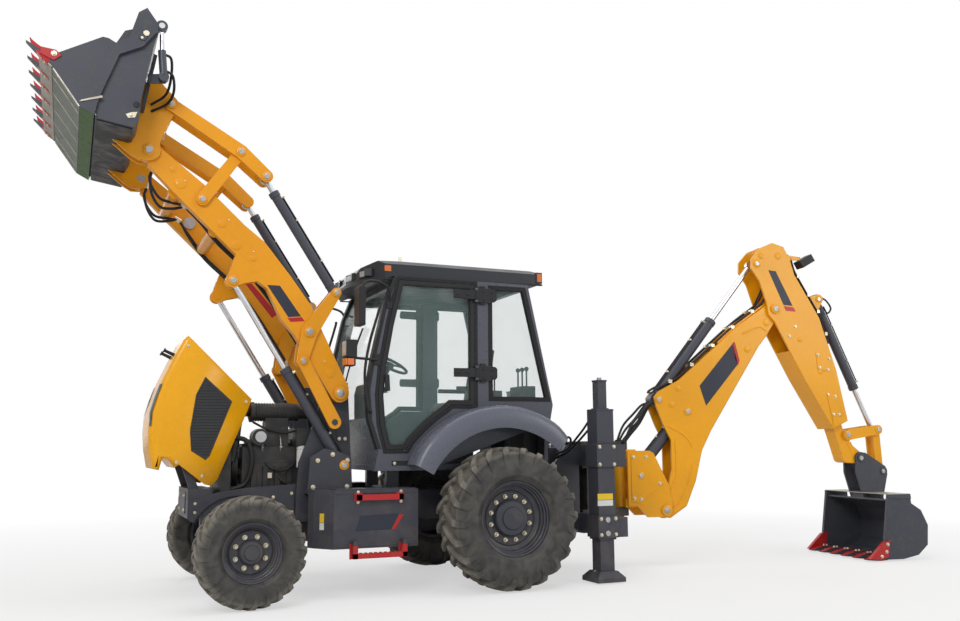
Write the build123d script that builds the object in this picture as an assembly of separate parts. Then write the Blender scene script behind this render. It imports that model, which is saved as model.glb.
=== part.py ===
"""Backhoe loader: raised front loader, open bonnet, cab, stabilisers and a swung backhoe.

Millimetres. +X is forward (loader end), +Y the machine's left, +Z up. The origin is on the ground
under the rear axle. Outlines are (x, z) points of a vertical plate. The backhoe is drawn straight
behind the machine, as (distance behind the swing pin, height), and then swung by SWING.
"""

import os
from math import cos, hypot, pi, sin

from build123d import *

os.makedirs("parts", exist_ok=True)

# ---------------------------------------------------------------- driving dimensions
RUN = 0.05  # running clearance of a pin in its eye, on the radius
SLIDE = 0.4  # clearance round a sliding leg or stick
SEAT = 0.3  # clearance between faces of two bodies that touch
GAP = 6.0  # side clearance between plates that move past each other

WHEELBASE = 2379.0
HALF_TRACK = 1060.0
REAR_R, REAR_W, REAR_RIM_R = 657.0, 480.0, 335.0
FRONT_R, FRONT_W, FRONT_RIM_R = 460.5, 350.0, 240.0
RIM_WALL = 16.0
REAR_DISC_Y, FRONT_DISC_Y = 40.0, 20.0
DISC_T = 20.0
REAR_HUB_R, FRONT_HUB_R = 190.0, 120.0
KINGPIN_Y, KINGPIN_R = 860.0, 34.0
AXLE_TUBE_R = 105.0

RAIL_IN, RAIL_OUT = 300.0, 365.0
RAIL_Z0, RAIL_Z1 = 620.0, 900.0
FRAME_REAR, FRAME_FRONT = -900.0, 2700.0
NOSE_X0, NOSE_X1, NOSE_Z0, NOSE_Z1, NOSE_HALF = 2600.0, 2815.0, 700.0, 960.0, 365.0

ENGINE_Z0 = 740.0
TOWER_IN, TOWER_OUT = 405.0, 440.0
TOWER_CAP_IN, TOWER_CAP_OUT = 566.0, 592.0

CAB_HALF, CAB_WALL = 780.0, 75.0
CAB_FLOOR_Z0, CAB_FLOOR_Z1 = 1100.0, 1150.0
CAB_REAR, CAB_FIREWALL = -620.0, 1180.0
ROOF_Z0, ROOF_Z1 = 2940.0, 3125.0
ROOF_HALF = 760.0
GLASS_T = 8.0
DOOR_GAP = 5.0
FENDER_R, FENDER_ARCH_R = 1055.0, 835.0
FENDER_IN, FENDER_OUT = CAB_HALF + 8.0, 1050.0
FENDER_T = 12.0

# pins of the loader, (x, z)
ARM_PIN = (1488.0, 1826.0)
HEAD_PIN = (3284.0, 3977.0)
LIFT_BASE = (1450.0, 1155.0)
LIFT_EYE = (2504.0, 2841.0)
LEVER_PIN = (1796.0, 2392.0)
LEVER_TOP = (1543.0, 2778.0)
LEVER_LOW = (1857.0, 2117.0)
LINK_BASE = (ARM_PIN[0] + LEVER_LOW[0] - LEVER_PIN[0], ARM_PIN[1] + LEVER_LOW[1] - LEVER_PIN[1])
GUIDE_PIN = (2804.0, 3568.0)
TILT_FRONT = (3112.0, 4415.0)
TILT_MID = (2477.0, 4048.0)
TILT_REAR = (2235.0, 3839.0)
JAW_PIN = (3405.0, 4823.0)

# loader layers across the machine (left side; the right side mirrors them)
ARM_IN, ARM_OUT = 455.0, 545.0
ARM_MID = (ARM_IN + ARM_OUT) / 2
PLATE = 24.0
LAYER_1 = (ARM_OUT + GAP, ARM_OUT + GAP + PLATE)  # lever, coupler plate, guide strut
LAYER_2 = (LAYER_1[1] + 4.0, LAYER_1[1] + 4.0 + PLATE)  # tilt link
INNER_1 = (ARM_IN - GAP - PLATE, ARM_IN - GAP)
INNER_2 = (INNER_1[0] - 4.0 - PLATE, INNER_1[0] - 4.0)
FORK_GAP = 62.0
EYE_W = 46.0
EYE_RING = 12.0  # wall of a ram's base eye round its tube; a rod's eye has two

PIN_FLANGE_R, PIN_FLANGE_T = 60.0, 20.0  # inner flange of a guide pin
LIFT_TUBE_R, LIFT_ROD_R, LIFT_TUBE_L, LIFT_ROD_L = 48.0, 26.0, 1055.0, 1090.0
TILT_TUBE_R, TILT_ROD_R, TILT_TUBE_L, TILT_ROD_L = 45.0, 27.0, 1120.0, 1150.0

BUCKET_HALF = 1039.0
BUCKET_WALL = 25.0
TOOTH_COUNT = 7
TOOTH_L, TOOTH_W, TOOTH_H = 150.0, 70.0, 45.0

# bonnet
HOOD_HINGE = (2850.0, 1180.0)
HOOD_OPEN = 48.0
HOOD_HALF, HOOD_WALL = 388.0, 14.0

# stabilisers and rear frame
LEG_TUBE = 190.0
LEG_TUBE_X = (-1155.0, -965.0)
LEG_TUBE_Y1 = 1110.0
LEG_TUBE_Z = (410.0, 1680.0)
LEG = 156.0
LEG_Z0, LEG_Z1 = 110.0, 900.0
FOOT_L, FOOT_H, FOOT_Z0 = 310.0, 100.0, 12.0
MAST, MAST_TOP = 100.0, 1965.0
BEAM_X0, BEAM_X1 = -1290.0, LEG_TUBE_X[0]
BEAMS = ((1110.0, 1330.0), (430.0, 620.0))  # z0, z1 of the two side-shift beams

# backhoe: s is the distance behind the swing pin
SWING_PIN_X = -1900.0
SWING = 9.0
SWING_PIN_R = 42.0
BOOM_PIN = (470.0, 602.0)
BOOM_TIP = (1988.0, 2920.0)
BOOM_RAM_BASE = (175.0, 985.0)
BOOM_RAM_EYE = (810.0, 1700.0)
DIP_RAM_BASE = (455.0, 1835.0)
DIP_RAM_EYE = (1772.0, 3461.0)
STICK_TIP = (3064.0, 1152.0)
LEVER2_PIN = (2904.0, 1426.0)
LEVER2_TIP = (3335.0, 1490.0)
COUPLER_EYE = (3358.0, 994.0)
BKT_RAM_BASE = (2644.0, 3073.0)
BKT_RAM_EYE = LEVER2_TIP
BOOM_HALF, DIPPER_HALF, STICK_HALF = 125.0, 160.0, 95.0
DIG_HALF = 590.0
DIG_TEETH = 6


# ---------------------------------------------------------------- shape helpers
def slab(sketch, y0, y1):
    """A plate standing in the XZ plane, from y0 to y1."""
    return extrude(Plane.XZ.offset(-y1) * sketch, amount=y1 - y0, dir=(0, -1, 0))


def across(sign, near, far):
    """The span from near to far on one side of the machine, low end first."""
    return sorted((sign * near, sign * far))


def outline(*points):
    return Polygon(*points, align=None)


def rectangle(x0, x1, z0, z1):
    return outline((x0, z0), (x1, z0), (x1, z1), (x0, z1))


def spot(p, r):
    return Pos(p[0], p[1]) * Circle(r)


def strap(*discs):
    """The tight outline round discs given as (x, z, r)."""
    return make_hull([edge for x, z, r in discs for edge in spot((x, z), r).edges()])


def disc(p, r, y0, y1):
    return slab(spot(p, r), y0, y1)


def box(x0, x1, y0, y1, z0, z1):
    return Pos((x0 + x1) / 2, (y0 + y1) / 2, (z0 + z1) / 2) * Box(x1 - x0, y1 - y0, z1 - z0)


def along(p, q, distance):
    """The point at a distance from p towards q, in the XZ plane."""
    length = hypot(q[0] - p[0], q[1] - p[1])
    return (p[0] + (q[0] - p[0]) * distance / length, p[1] + (q[1] - p[1]) * distance / length)


def bar_between(p, q, r, y):
    """A round bar in the plane at y."""
    length = hypot(q[0] - p[0], q[1] - p[1])
    axis = Plane(origin=(p[0], y, p[1]), z_dir=(q[0] - p[0], 0, q[1] - p[1]))
    return extrude(axis * Circle(r), amount=length)


def mirrored(shape):
    return mirror(shape, about=Plane.XZ)


def save(node, *shapes):
    solids = [solid for shape in shapes for solid in shape.solids()]
    export_step(Compound(children=solids), f"parts/{node}.step")


def save_pair(node, shape):
    save(node, shape, mirrored(shape))


def ram(base, eye, y, tube_r, rod_r, tube_l, rod_l, pin_r):
    """A cylinder's tube, bored for its rod and turning on its base pin, and its rod and eye."""
    base_r = tube_r + EYE_RING
    tube = bar_between(base, along(base, eye, tube_l), tube_r, y)
    tube += disc(base, base_r, y - tube_r, y + tube_r)
    bore_start = along(base, eye, base_r + 10)
    tube -= bar_between(bore_start, along(base, eye, tube_l + 5), rod_r + RUN, y)
    tube -= disc(base, pin_r + RUN, y - base_r, y + base_r)
    rod = bar_between(along(eye, base, rod_l), along(eye, base, rod_r + EYE_RING), rod_r, y)
    rod += disc(eye, rod_r + 2 * EYE_RING, y - EYE_W / 2, y + EYE_W / 2)
    return tube, rod


def revolved(profile, y, x, z):
    """A solid of revolution about the Y axis through (x, z); the profile is (radius, offset in y)."""
    face = Polygon(*profile, align=None)
    return Pos(x, y, z) * revolve(Plane.XY * face, axis=Axis.Y)


# ---------------------------------------------------------------- wheels
# columns: name, x, radius, width, rim radius, hub radius, disc offset
WHEELS = (
    ("front", WHEELBASE, FRONT_R, FRONT_W, FRONT_RIM_R, FRONT_HUB_R, FRONT_DISC_Y),
    ("rear", 0.0, REAR_R, REAR_W, REAR_RIM_R, REAR_HUB_R, REAR_DISC_Y),
)
# lug height and number of lugs on each half of the tread
LUGS_OF = {"front": (22.0, 18), "rear": (40.0, 17)}
TREAD_BASE = 8.0  # thickness of the tread under its lugs
LUG_REACH = 0.9  # reach of the lugs towards the sidewall
LUG_ROOT, LUG_TOP = 0.30, 0.17  # half width of a lug at its root and top, in pitches


def lug_ring(radius, depth, count, turn):
    """The tread's outline on one half of a tyre: a disc with a lug at every pitch."""
    pitch = 2 * pi / count
    points = []
    for i in range(count):
        middle = (i + turn) * pitch
        root = radius - depth
        for reach, half in ((root, -LUG_ROOT), (radius, -LUG_TOP), (radius, LUG_TOP), (root, LUG_ROOT)):
            angle = middle + half * pitch
            points.append((reach * cos(angle), reach * sin(angle)))
    return points


def tread(x, radius, width, depth, count):
    """Two rings of lugs, half a pitch apart."""
    half = width / 2 * LUG_REACH
    rings = None
    for y0, y1, turn in ((-half, 0, 0.0), (0, half, 0.5)):
        points = [(x + px, radius + pz) for px, pz in lug_ring(radius, depth, count, turn)]
        ring = slab(outline(*points) - spot((x, radius), radius * 0.8), HALF_TRACK + y0, HALF_TRACK + y1)
        rings = ring if rings is None else rings + ring
    return rings


def tyre(radius, width, rim_r):
    half = width / 2
    profile = (
        (rim_r + SEAT, -half * 0.72),
        (rim_r + SEAT, half * 0.72),
        (rim_r + (radius - rim_r) * 0.35, half * 0.96),
        (radius * 0.86, half),
        (radius * 0.965, half * 0.93),
        (radius, half * 0.8),
        (radius, -half * 0.8),
        (radius * 0.965, -half * 0.93),
        (radius * 0.86, -half),
        (rim_r + (radius - rim_r) * 0.35, -half * 0.96),
    )
    return profile


def rim(width, rim_r, hub_r, disc_y):
    barrel = rim_r - RIM_WALL
    lip = width / 2 * 0.72 - SEAT
    profile = (
        (barrel, -lip),
        (rim_r, -lip),
        (rim_r, lip),
        (barrel, lip),
        (barrel, disc_y + DISC_T),
        (hub_r, disc_y + DISC_T),
        (hub_r * 0.92, disc_y + 90),
        (hub_r * 0.5, disc_y + 110),
        (0, disc_y + 110),
        (0, disc_y),
        (barrel, disc_y),
    )
    return profile


def wheels():
    for name, x, radius, width, rim_r, hub_r, disc_y in WHEELS:
        depth, count = LUGS_OF[name]
        carcass = revolved(tyre(radius - depth - TREAD_BASE, width, rim_r), HALF_TRACK, x, radius)
        rubber = carcass + tread(x, radius, width, depth, count)
        steel = revolved(rim(width, rim_r, hub_r, disc_y), HALF_TRACK, x, radius)
        save(f"tyre_{name}_left", rubber)
        save(f"tyre_{name}_right", mirrored(rubber))
        save(f"rim_{name}_left", steel)
        save(f"rim_{name}_right", mirrored(steel))


# ---------------------------------------------------------------- axles
def front_axle():
    z = FRONT_R
    beam_end = KINGPIN_Y - 52
    beam = slab(rectangle(WHEELBASE - 75, WHEELBASE + 75, z - 80, z + 80), -330, 330)
    beam += box(WHEELBASE - 62, WHEELBASE + 62, -beam_end, beam_end, z - 55, z + 55)
    beam += Pos(WHEELBASE, 0, z) * Sphere(150)
    for side in (1, -1):
        eye = Pos(WHEELBASE, side * KINGPIN_Y, z) * Cylinder(58, 130)
        beam += eye
        beam -= Pos(WHEELBASE, side * KINGPIN_Y, z) * Cylinder(KINGPIN_R + RUN, 300)
    beam += box(WHEELBASE - 90, WHEELBASE + 90, -110, 110, z + 60, RAIL_Z0)
    save("front_axle", beam)


def knuckle():
    z = FRONT_R
    fork_half = 65 + SEAT
    arm_h = 45
    y1 = HALF_TRACK + FRONT_DISC_Y - SEAT
    hub_y = KINGPIN_Y + 68
    reach = fork_half + arm_h
    part = box(WHEELBASE - 60, WHEELBASE + 60, hub_y, hub_y + 40, z - reach, z + reach)
    for low in (z + fork_half, z - fork_half - arm_h):
        part += box(WHEELBASE - 55, WHEELBASE + 55, KINGPIN_Y, hub_y + 5, low, low + arm_h)
        part += Pos(WHEELBASE, KINGPIN_Y, low + arm_h / 2) * Cylinder(55, arm_h)
    part += Pos(WHEELBASE, KINGPIN_Y, z) * Cylinder(KINGPIN_R, 2 * (fork_half + arm_h))
    part += disc((WHEELBASE, z), 100, hub_y, y1)
    save("knuckle_left", part)
    save("knuckle_right", mirrored(part))


def rear_axle():
    y1 = HALF_TRACK + REAR_DISC_Y - SEAT
    axle = disc((0, REAR_R), AXLE_TUBE_R, -y1 + 60, y1 - 60)
    axle += disc((0, REAR_R), 170, y1 - 120, y1)
    axle += disc((0, REAR_R), 170, -y1, -y1 + 120)
    axle += Pos(0, 0, REAR_R) * Sphere(230)
    save("rear_axle", axle)


# ---------------------------------------------------------------- chassis
TOWER = (
    (1330, RAIL_Z1), (1860, RAIL_Z1), (1840, 1180), (1700, 1560), (1600, 1930), (1385, 1930), (1360, 1500),
)
TOWER_CAP = ((1370, 925), (1790, 925), (1770, 1230), (1640, 1310), (1500, 1280), (1385, 1230))

# side plate from the tower to the nose, arched over the front wheel
SIDE_PLATE = (
    (NOSE_X1, 700), (NOSE_X1, 858), (2765, 860), (2560, 925), (2300, 960), (1850, 985), (1850, 640),
    (2000, 620), (2700, 620),
)
SIDE_PLATE_T = 20.0
FRONT_ARCH_R = 430.0


def chassis_frame():
    rail = box(FRAME_REAR, FRAME_FRONT, RAIL_IN, RAIL_OUT, RAIL_Z0, RAIL_Z1)
    rail -= disc((0, REAR_R), AXLE_TUBE_R + SEAT, RAIL_IN - 5, RAIL_OUT + 5)
    side = rail + slab(outline(*TOWER), TOWER_IN, TOWER_OUT)
    side += box(1330, 1860, RAIL_OUT, TOWER_OUT, RAIL_Z0 + 20, RAIL_Z1 + 5)
    side += box(1370, 1790, TOWER_OUT - 5, TOWER_CAP_OUT, RAIL_Z1, 930)
    side += slab(outline(*TOWER_CAP), TOWER_CAP_IN, TOWER_CAP_OUT)
    side += disc(ARM_PIN, 45, TOWER_OUT - 5, ARM_OUT + 18)
    side += disc(LIFT_BASE, 32, TOWER_OUT - 5, TOWER_CAP_IN + 5)
    side += disc(LINK_BASE, 28, TOWER_OUT - 5, LAYER_2[1] + 8)
    guard = outline(*SIDE_PLATE) - spot((WHEELBASE, FRONT_R), FRONT_ARCH_R)
    side += slab(guard, RAIL_OUT - 5, RAIL_OUT + SIDE_PLATE_T)
    frame = side + mirrored(side)
    # columns: x0, x1, z0, z1 of the cross members
    for x0, x1, z0, z1 in (
        (FRAME_REAR, -780, 640, 880), (500, 620, 640, 760), (1500, 1600, 640, ENGINE_Z0),
        (1900, 2000, 640, ENGINE_Z0), (2280, 2480, RAIL_Z0, 700),
    ):
        frame += box(x0, x1, -RAIL_IN - 5, RAIL_IN + 5, z0, z1)
    frame += box(NOSE_X0, NOSE_X1, -NOSE_HALF, NOSE_HALF, NOSE_Z0, NOSE_Z1)
    for side_y in (1, -1):
        bracket = strap((*HOOD_HINGE, 28), (NOSE_X1 - 60, NOSE_Z1 - 10, 40))
        frame += slab(bracket, *across(side_y, 300, 325))
        frame += disc(HOOD_HINGE, 14, *across(side_y, 262, 325))
    save("chassis_frame", frame)


def engine():
    block = box(1480, 2330, -270, 270, ENGINE_Z0, 1330)
    radiator = box(2440, 2530, -330, 330, RAIL_Z1, 1470)
    cleaner = Pos(2010, 150, 1655) * Rot(0, 90, 0) * Cylinder(82, 420)
    cleaner += box(1900, 2120, 90, 230, 1330, 1600)
    plate = box(1700, 1850, -200, 370, 1330, 1500)
    filters = Pos(1660, 330, 1230) * Cylinder(45, 190)
    filters += box(1600, 1720, 270, 340, 1290, 1325)
    alternator = disc((2180, 1420), 75, 180, 330) + box(2130, 2230, 180, 260, 1330, 1380)
    fan = Pos(2390, 0, 1180) * Rot(0, 90, 0) * Cylinder(240, 50)
    fan += Pos(2350, 0, 1180) * Rot(0, 90, 0) * Cylinder(50, 40)
    save("engine", block, radiator, cleaner, plate, filters, alternator, fan)


def side_tanks():
    plan = Polygon((1790, 620), (1760, 700), (1625, 900), (831, 900), (831, 620), align=None)
    tank = Pos(0, 0, 425) * extrude(plan, amount=515)
    tank += box(950, 1300, RAIL_OUT, 625, 640, 860)
    # columns: x0, x1, z0, z1, reach of the grab bar and the step
    for x0, x1, z0, z1, reach in ((990, 1420, 850, 895, 55), (960, 1460, 345, 385, 75)):
        rail = box(x0, x1, 900 + reach - 25, 900 + reach, z0, z1)
        for x in (x0, x1 - 40):
            rail += box(x, x + 40, 895, 900 + reach, z0, z1 + (0 if z0 > 500 else 110))
        tank += rail
    save_pair("side_tanks", tank)


# ---------------------------------------------------------------- cab
SIDE = (
    (1020, ROOF_Z0), (1127, 2685), (1250, 2128), (1296, 1846), (1273, 1568), (1180, 1292),
    (1216, CAB_FLOOR_Z0), (700, CAB_FLOOR_Z0), (CAB_REAR, 1560), (-653, 1731), (-387, ROOF_Z0),
)
DOOR = (
    (205, 2905), (985, 2905), (1085, 2480), (1160, 2060), (1185, 1801), (1165, 1520), (1105, 1292),
    (905, 1292), (860, 1365), (800, 1430), (700, 1525), (600, 1605), (500, 1670), (450, 1715), (205, 1715),
)
QUARTER = ((25, 2880), (-335, 2880), (-590, 1790), (25, 1790))
DOOR_FRAME = 42.0
HINGE_X, HINGE_Y, HINGE_R = 190.0, CAB_HALF + 20.0, 18.0
HINGE_ZS = (2030.0, 2800.0)


def inset(points, amount):
    return offset(outline(*points), -amount, kind=Kind.INTERSECTION)


def cab_frame():
    y0, y1 = CAB_HALF - CAB_WALL, CAB_HALF
    side = slab(outline(*SIDE), y0, y1)
    side -= slab(offset(outline(*DOOR), DOOR_GAP, kind=Kind.INTERSECTION), y0 - 5, y1 + 5)
    side -= slab(outline(*QUARTER), y0 - 5, y1 + 5)
    for z in HINGE_ZS:
        for low in (z - 70, z + 50):
            side += box(40, HINGE_X, y1 - 5, HINGE_Y + 10, low, low + 20)
            side += Pos(HINGE_X, HINGE_Y, low + 10) * Cylinder(HINGE_R, 20)
        side += box(40, 150, y1 - 5, HINGE_Y + 10, z - 60, z + 60)
        side += Pos(HINGE_X, HINGE_Y, z) * Cylinder(8, 130)
    frame = side + mirrored(side)
    frame += box(CAB_REAR, CAB_FIREWALL, -y0 - 5, y0 + 5, CAB_FLOOR_Z0, CAB_FLOOR_Z1)
    frame += box(CAB_FIREWALL - 40, CAB_FIREWALL - 10, -y0 - 5, y0 + 5, CAB_FLOOR_Z0, 1600)
    rear_panel = outline((CAB_REAR, CAB_FLOOR_Z0), (CAB_REAR + 40, CAB_FLOOR_Z0), (-600, 1731), (-653, 1731))
    frame += slab(rear_panel, -y0 - 5, y0 + 5)
    for x0, x1 in ((930, 990), (-360, -300)):
        frame += box(x0, x1, -y0 - 5, y0 + 5, ROOF_Z0 - 60, ROOF_Z0)
    for sx in (-500, 900):
        for sy in (-1, 1):
            frame += box(sx - 60, sx + 60, *across(sy, RAIL_IN, RAIL_OUT), RAIL_Z1, CAB_FLOOR_Z0)
    save("cab_frame", frame)


def cab_roof():
    section = (
        (1330, 2900), (1335, 2930), (1270, 3060), (1150, 3105), (860, ROOF_Z1), (-100, ROOF_Z1 + 10),
        (-500, 3120), (-565, 3090), (-565, 2965), (-480, ROOF_Z0), (1060, ROOF_Z0), (1150, 2900),
    )
    roof = slab(outline(*section), -ROOF_HALF, ROOF_HALF)
    front = ThreePointArc((1120, ROOF_HALF), (1335, 0), (1120, -ROOF_HALF))
    sides = Polyline(
        (1120, -ROOF_HALF), (-530, -ROOF_HALF), (-600, -600), (-600, 600), (-530, ROOF_HALF),
        (1120, ROOF_HALF),
    )
    roof &= extrude(make_face(Plane.XY.offset(ROOF_Z0 - 100) * (front + sides)), amount=400, dir=(0, 0, 1))
    crown = outline(
        (-ROOF_HALF, 2850), (ROOF_HALF, 2850), (ROOF_HALF, 3060), (610, 3120), (0, 3145), (-610, 3120),
        (-ROOF_HALF, 3060),
    )
    roof &= extrude(Plane.YZ.offset(-700) * crown, amount=2200, dir=(1, 0, 0))
    for sign in (1, -1):
        # columns: x and y of a visor lamp's middle, its turn about Z
        for x, y, turn in ((1276, 215, 8.5), (1212, 520, 21.0)):
            roof += Pos(x, sign * y, 2992) * Rot(0, 0, -sign * turn) * Box(70, 210, 72)
        roof += box(-560, -495, *across(sign, ROOF_HALF - 60, ROOF_HALF + 8), 2968, 3080)
    save("cab_roof", roof)


def cab_glass():
    y0 = CAB_HALF - CAB_WALL
    front = (
        (1012, ROOF_Z0 - 8), (1117, 2680), (1238, 2128), (1284, 1846), (1262, 1568), (1185, 1400),
    )
    inner = tuple((x - GLASS_T * 1.03, z) for x, z in reversed(front))
    windscreen = slab(outline(*front, *inner), -y0 + SEAT, y0 - SEAT)
    rear = ((-650, 1740), (-650 + GLASS_T, 1740), (-390 + GLASS_T, 2930), (-390, 2930))
    rear_pane = slab(outline(*rear), -y0 + SEAT, y0 - SEAT)
    quarter = slab(inset(QUARTER, SEAT), y0 + 30, y0 + 30 + GLASS_T)
    save("cab_glass", windscreen, rear_pane, quarter, mirrored(quarter))


def door():
    y0, y1 = CAB_HALF - CAB_WALL + 8, CAB_HALF
    leaf = slab(outline(*DOOR), y0, y1)
    opening = inset(DOOR, DOOR_FRAME)
    leaf -= slab(opening, y0 - 5, y1 + 5)
    for z in HINGE_ZS:
        leaf += Pos(HINGE_X, HINGE_Y, z) * Cylinder(HINGE_R, 100 - 2 * SEAT)
        leaf += box(HINGE_X, 430, HINGE_Y - 8, HINGE_Y + 10, z - 42, z + 42)
        leaf += box(215, 260, y1 - 5, HINGE_Y, z - 42, z + 42)
        leaf -= Pos(HINGE_X, HINGE_Y, z) * Cylinder(8 + RUN, 140)
    pane = slab(inset(DOOR, DOOR_FRAME + SEAT), y1 - 40, y1 - 40 + GLASS_T)
    save("door_left", leaf)
    save("door_right", mirrored(leaf))
    save("door_glass_left", pane)
    save("door_glass_right", mirrored(pane))


def rear_fenders():
    centre = (0, REAR_R)
    shell = slab(spot(centre, FENDER_R), FENDER_IN, FENDER_OUT)
    shell -= slab(spot(centre, FENDER_ARCH_R), FENDER_IN - 5, FENDER_OUT + 5)
    keep = outline(
        (-640, 1330), (-640, 1900), (300, 1900), (830, 1500), (830, 1150), (700, 1060), (0, REAR_R),
        (-500, 1330),
    )
    shell = shell & slab(keep, FENDER_IN - 5, FENDER_OUT + 5)
    shell -= slab(spot(centre, FENDER_R - FENDER_T), FENDER_IN + FENDER_T, FENDER_OUT - FENDER_T)
    shell += box(-300, 300, CAB_HALF, FENDER_IN + 5, 1560, 1600)
    save_pair("rear_fenders", shell)


def seat():
    shape = box(-130, 330, -230, 230, 1640, 1760)
    backrest = outline((-210, 1700), (-60, 1700), (-150, 2380), (-190, 2440), (-270, 2440), (-290, 2380))
    shape += slab(backrest, -210, 210)
    shape += box(-60, 260, -160, 160, CAB_FLOOR_Z1, 1645)
    save("seat", shape)


def console():
    dash_side = outline((900, CAB_FLOOR_Z1), (1120, CAB_FLOOR_Z1), (1130, 1850), (1060, 1930), (960, 1880))
    dash = slab(dash_side, -220, 220)
    column = bar_between((980, 1850), (820, 2150), 26, 0)
    hub = Pos(815, 0, 2160) * Rot(0, -27, 0)
    wheel = hub * Torus(185, 15) + hub * Cylinder(45, 26)
    for turn in (0, 120, 240):
        wheel += hub * Rot(0, 0, turn) * Pos(95, 0, 0) * Box(190, 26, 12)
    pod = box(-570, -430, 250, 560, CAB_FLOOR_Z1, 1930)
    pod += box(-570, -430, -560, -250, CAB_FLOOR_Z1, 1930)
    levers = None
    for y in (300, 400, 500):
        for sign in (1, -1):
            stick = Pos(-500, sign * y, 2010) * Cylinder(9, 180) + Pos(-500, sign * y, 2110) * Sphere(24)
            levers = stick if levers is None else levers + stick
    save("console", dash + column + wheel, pod + levers)


def lamps_mirrors():
    fittings = []
    for sign in (1, -1):
        lamp = box(1170, 1230, *across(sign, CAB_HALF, CAB_HALF + 12), 2080, 2180)
        lamp += bar_between((1200, 2130), (1480, 2130), 12, sign * (CAB_HALF + 14))
        lamp += box(1462, 1486, *across(sign, CAB_HALF + 5, 850), 2118, 2142)
        lamp += box(1440, 1560, *across(sign, 845, 990), 2050, 2290)
        fittings.append(lamp)
        mirror_arm = box(1060, 1110, *across(sign, CAB_HALF, CAB_HALF + 12), 2620, 2720)
        mirror_arm += bar_between((1085, 2680), (1420, 2790), 11, sign * (CAB_HALF + 14))
        mirror_arm += box(1408, 1430, *across(sign, CAB_HALF + 5, 930), 2778, 2802)
        mirror_arm += box(1398, 1440, *across(sign, 850, 1020), 2420, 2782)
        fittings.append(mirror_arm)
    save("lamps_mirrors", *fittings)


# ---------------------------------------------------------------- bonnet
# outline of the closed bonnet
HOOD_SIDE = (
    (1968, 1933), (2473, 1810), (2844, 1608), (2955, 1496), (2965, 1400), (3072, 1357), (3040, 1294),
    (2940, 1290), (2933, 1223), (2871, 926), (2845, 868), (2765, 871), (2033, 1112),
)

# louvred vent in each side of the open bonnet
VENT = ((2700, 1948), (2463, 1735), (2642, 1258), (2675, 1223), (2799, 1304), (2814, 1481), (2773, 1793))
SLAT_PITCH, SLAT_H = 92, 46


def hood_vents(bonnet):
    """Cuts the vents in the open bonnet and sets their slats in them."""
    for sign in (1, -1):
        through = across(sign, HOOD_HALF - HOOD_WALL - 4, HOOD_HALF + 4)
        bonnet -= slab(outline(*VENT), *through)
        slats = None
        for z in range(1250, 1930, SLAT_PITCH):
            slat = box(2440, 2840, *across(sign, HOOD_HALF - 11, HOOD_HALF - 4), z, z + SLAT_H)
            slats = slat if slats is None else slats + slat
        bonnet += slats & slab(offset(outline(*VENT), 3, kind=Kind.INTERSECTION), *through)
    return bonnet


def hood():
    shell = slab(outline(*HOOD_SIDE), -HOOD_HALF, HOOD_HALF)
    inner = (
        (1900, 1960), (1968, 1933 - HOOD_WALL), (2470, 1810 - HOOD_WALL), (2836, 1608 - HOOD_WALL),
        (2938, 1490), (2919, 1223), (2857, 926), (2840, 800), (1900, 800),
    )
    width = HOOD_HALF - HOOD_WALL
    shell -= slab(outline(*inner), -width, width)
    shell -= box(2700, 3000, -width, width, 800, NOSE_Z1 + 15)
    for side_y in (1, -1):
        shell -= box(2700, 2960, *across(side_y, 295, 330), 800, 1230)
        lug = slab(strap((*HOOD_HINGE, 26), (2915, 1200, 26)), *across(side_y, 268, 292))
        lug -= disc(HOOD_HINGE, 14 + RUN, *across(side_y, 250, 330))
        shell += lug
    save("hood", hood_vents(turned(shell, HOOD_HINGE, -HOOD_OPEN)))


def turned(shape, pin, angle):
    """Turns a shape about a pin along Y; a positive angle lifts what is ahead of the pin."""
    return Pos(pin[0], 0, pin[1]) * Rot(0, -angle, 0) * Pos(-pin[0], 0, -pin[1]) * shape


# ---------------------------------------------------------------- loader
ARM = (
    (3209, 4033), (2796, 3715), (2416, 3364), (2228, 3219), (1978, 2913), (1782, 2649), (1673, 2416),
    (1403, 1880), (1410, 1780), (1459, 1745), (1560, 1770), (1937, 2367), (2052, 2493), (2198, 2785),
    (2282, 2846), (2400, 2820), (2470, 2790), (2560, 2800), (2545, 2900), (2489, 3084), (2802, 3376),
    (3064, 3620), (3287, 3846),
)
CROSS_TUBES = ((3035, 3640, 62), (2668, 3310, 62))  # x, z, radius


def loader_arms():
    arm = slab(outline(*ARM), ARM_IN, ARM_OUT)
    for pin, r in ((HEAD_PIN, 100), (ARM_PIN, 88), (LIFT_EYE, 66)):
        arm += disc(pin, r, ARM_IN, ARM_OUT)
    slot = strap((*LIFT_EYE, 160), (*along(LIFT_EYE, LIFT_BASE, 500), 90))
    slot_low = strap((*LIFT_EYE, 160), (LIFT_EYE[0] - 130, LIFT_EYE[1] - 480, 90))
    for cut in (slot, slot_low):
        arm -= slab(cut, ARM_MID - FORK_GAP / 2, ARM_MID + FORK_GAP / 2)
    for pin, r in ((HEAD_PIN, 40), (ARM_PIN, 45), (LEVER_PIN, 35), (GUIDE_PIN, 28)):
        arm -= disc(pin, r + RUN, ARM_IN - 5, ARM_OUT + 5)
    for y0, y1 in ((ARM_IN - 3, ARM_IN), (ARM_OUT, ARM_OUT + 3)):
        arm += disc(LIFT_EYE, 34, y0, y1)
    arms = arm + mirrored(arm)
    for x, z, r in CROSS_TUBES:
        arms += disc((x, z), r, -ARM_IN - 2, ARM_IN + 2)
    save("loader_arms", arms)


def lift_rams():
    tube, rod = ram(LIFT_BASE, LIFT_EYE, ARM_MID, LIFT_TUBE_R, LIFT_ROD_R, LIFT_TUBE_L, LIFT_ROD_L, 32)
    save_pair("lift_tubes", tube)
    save_pair("lift_rods", rod)


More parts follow.
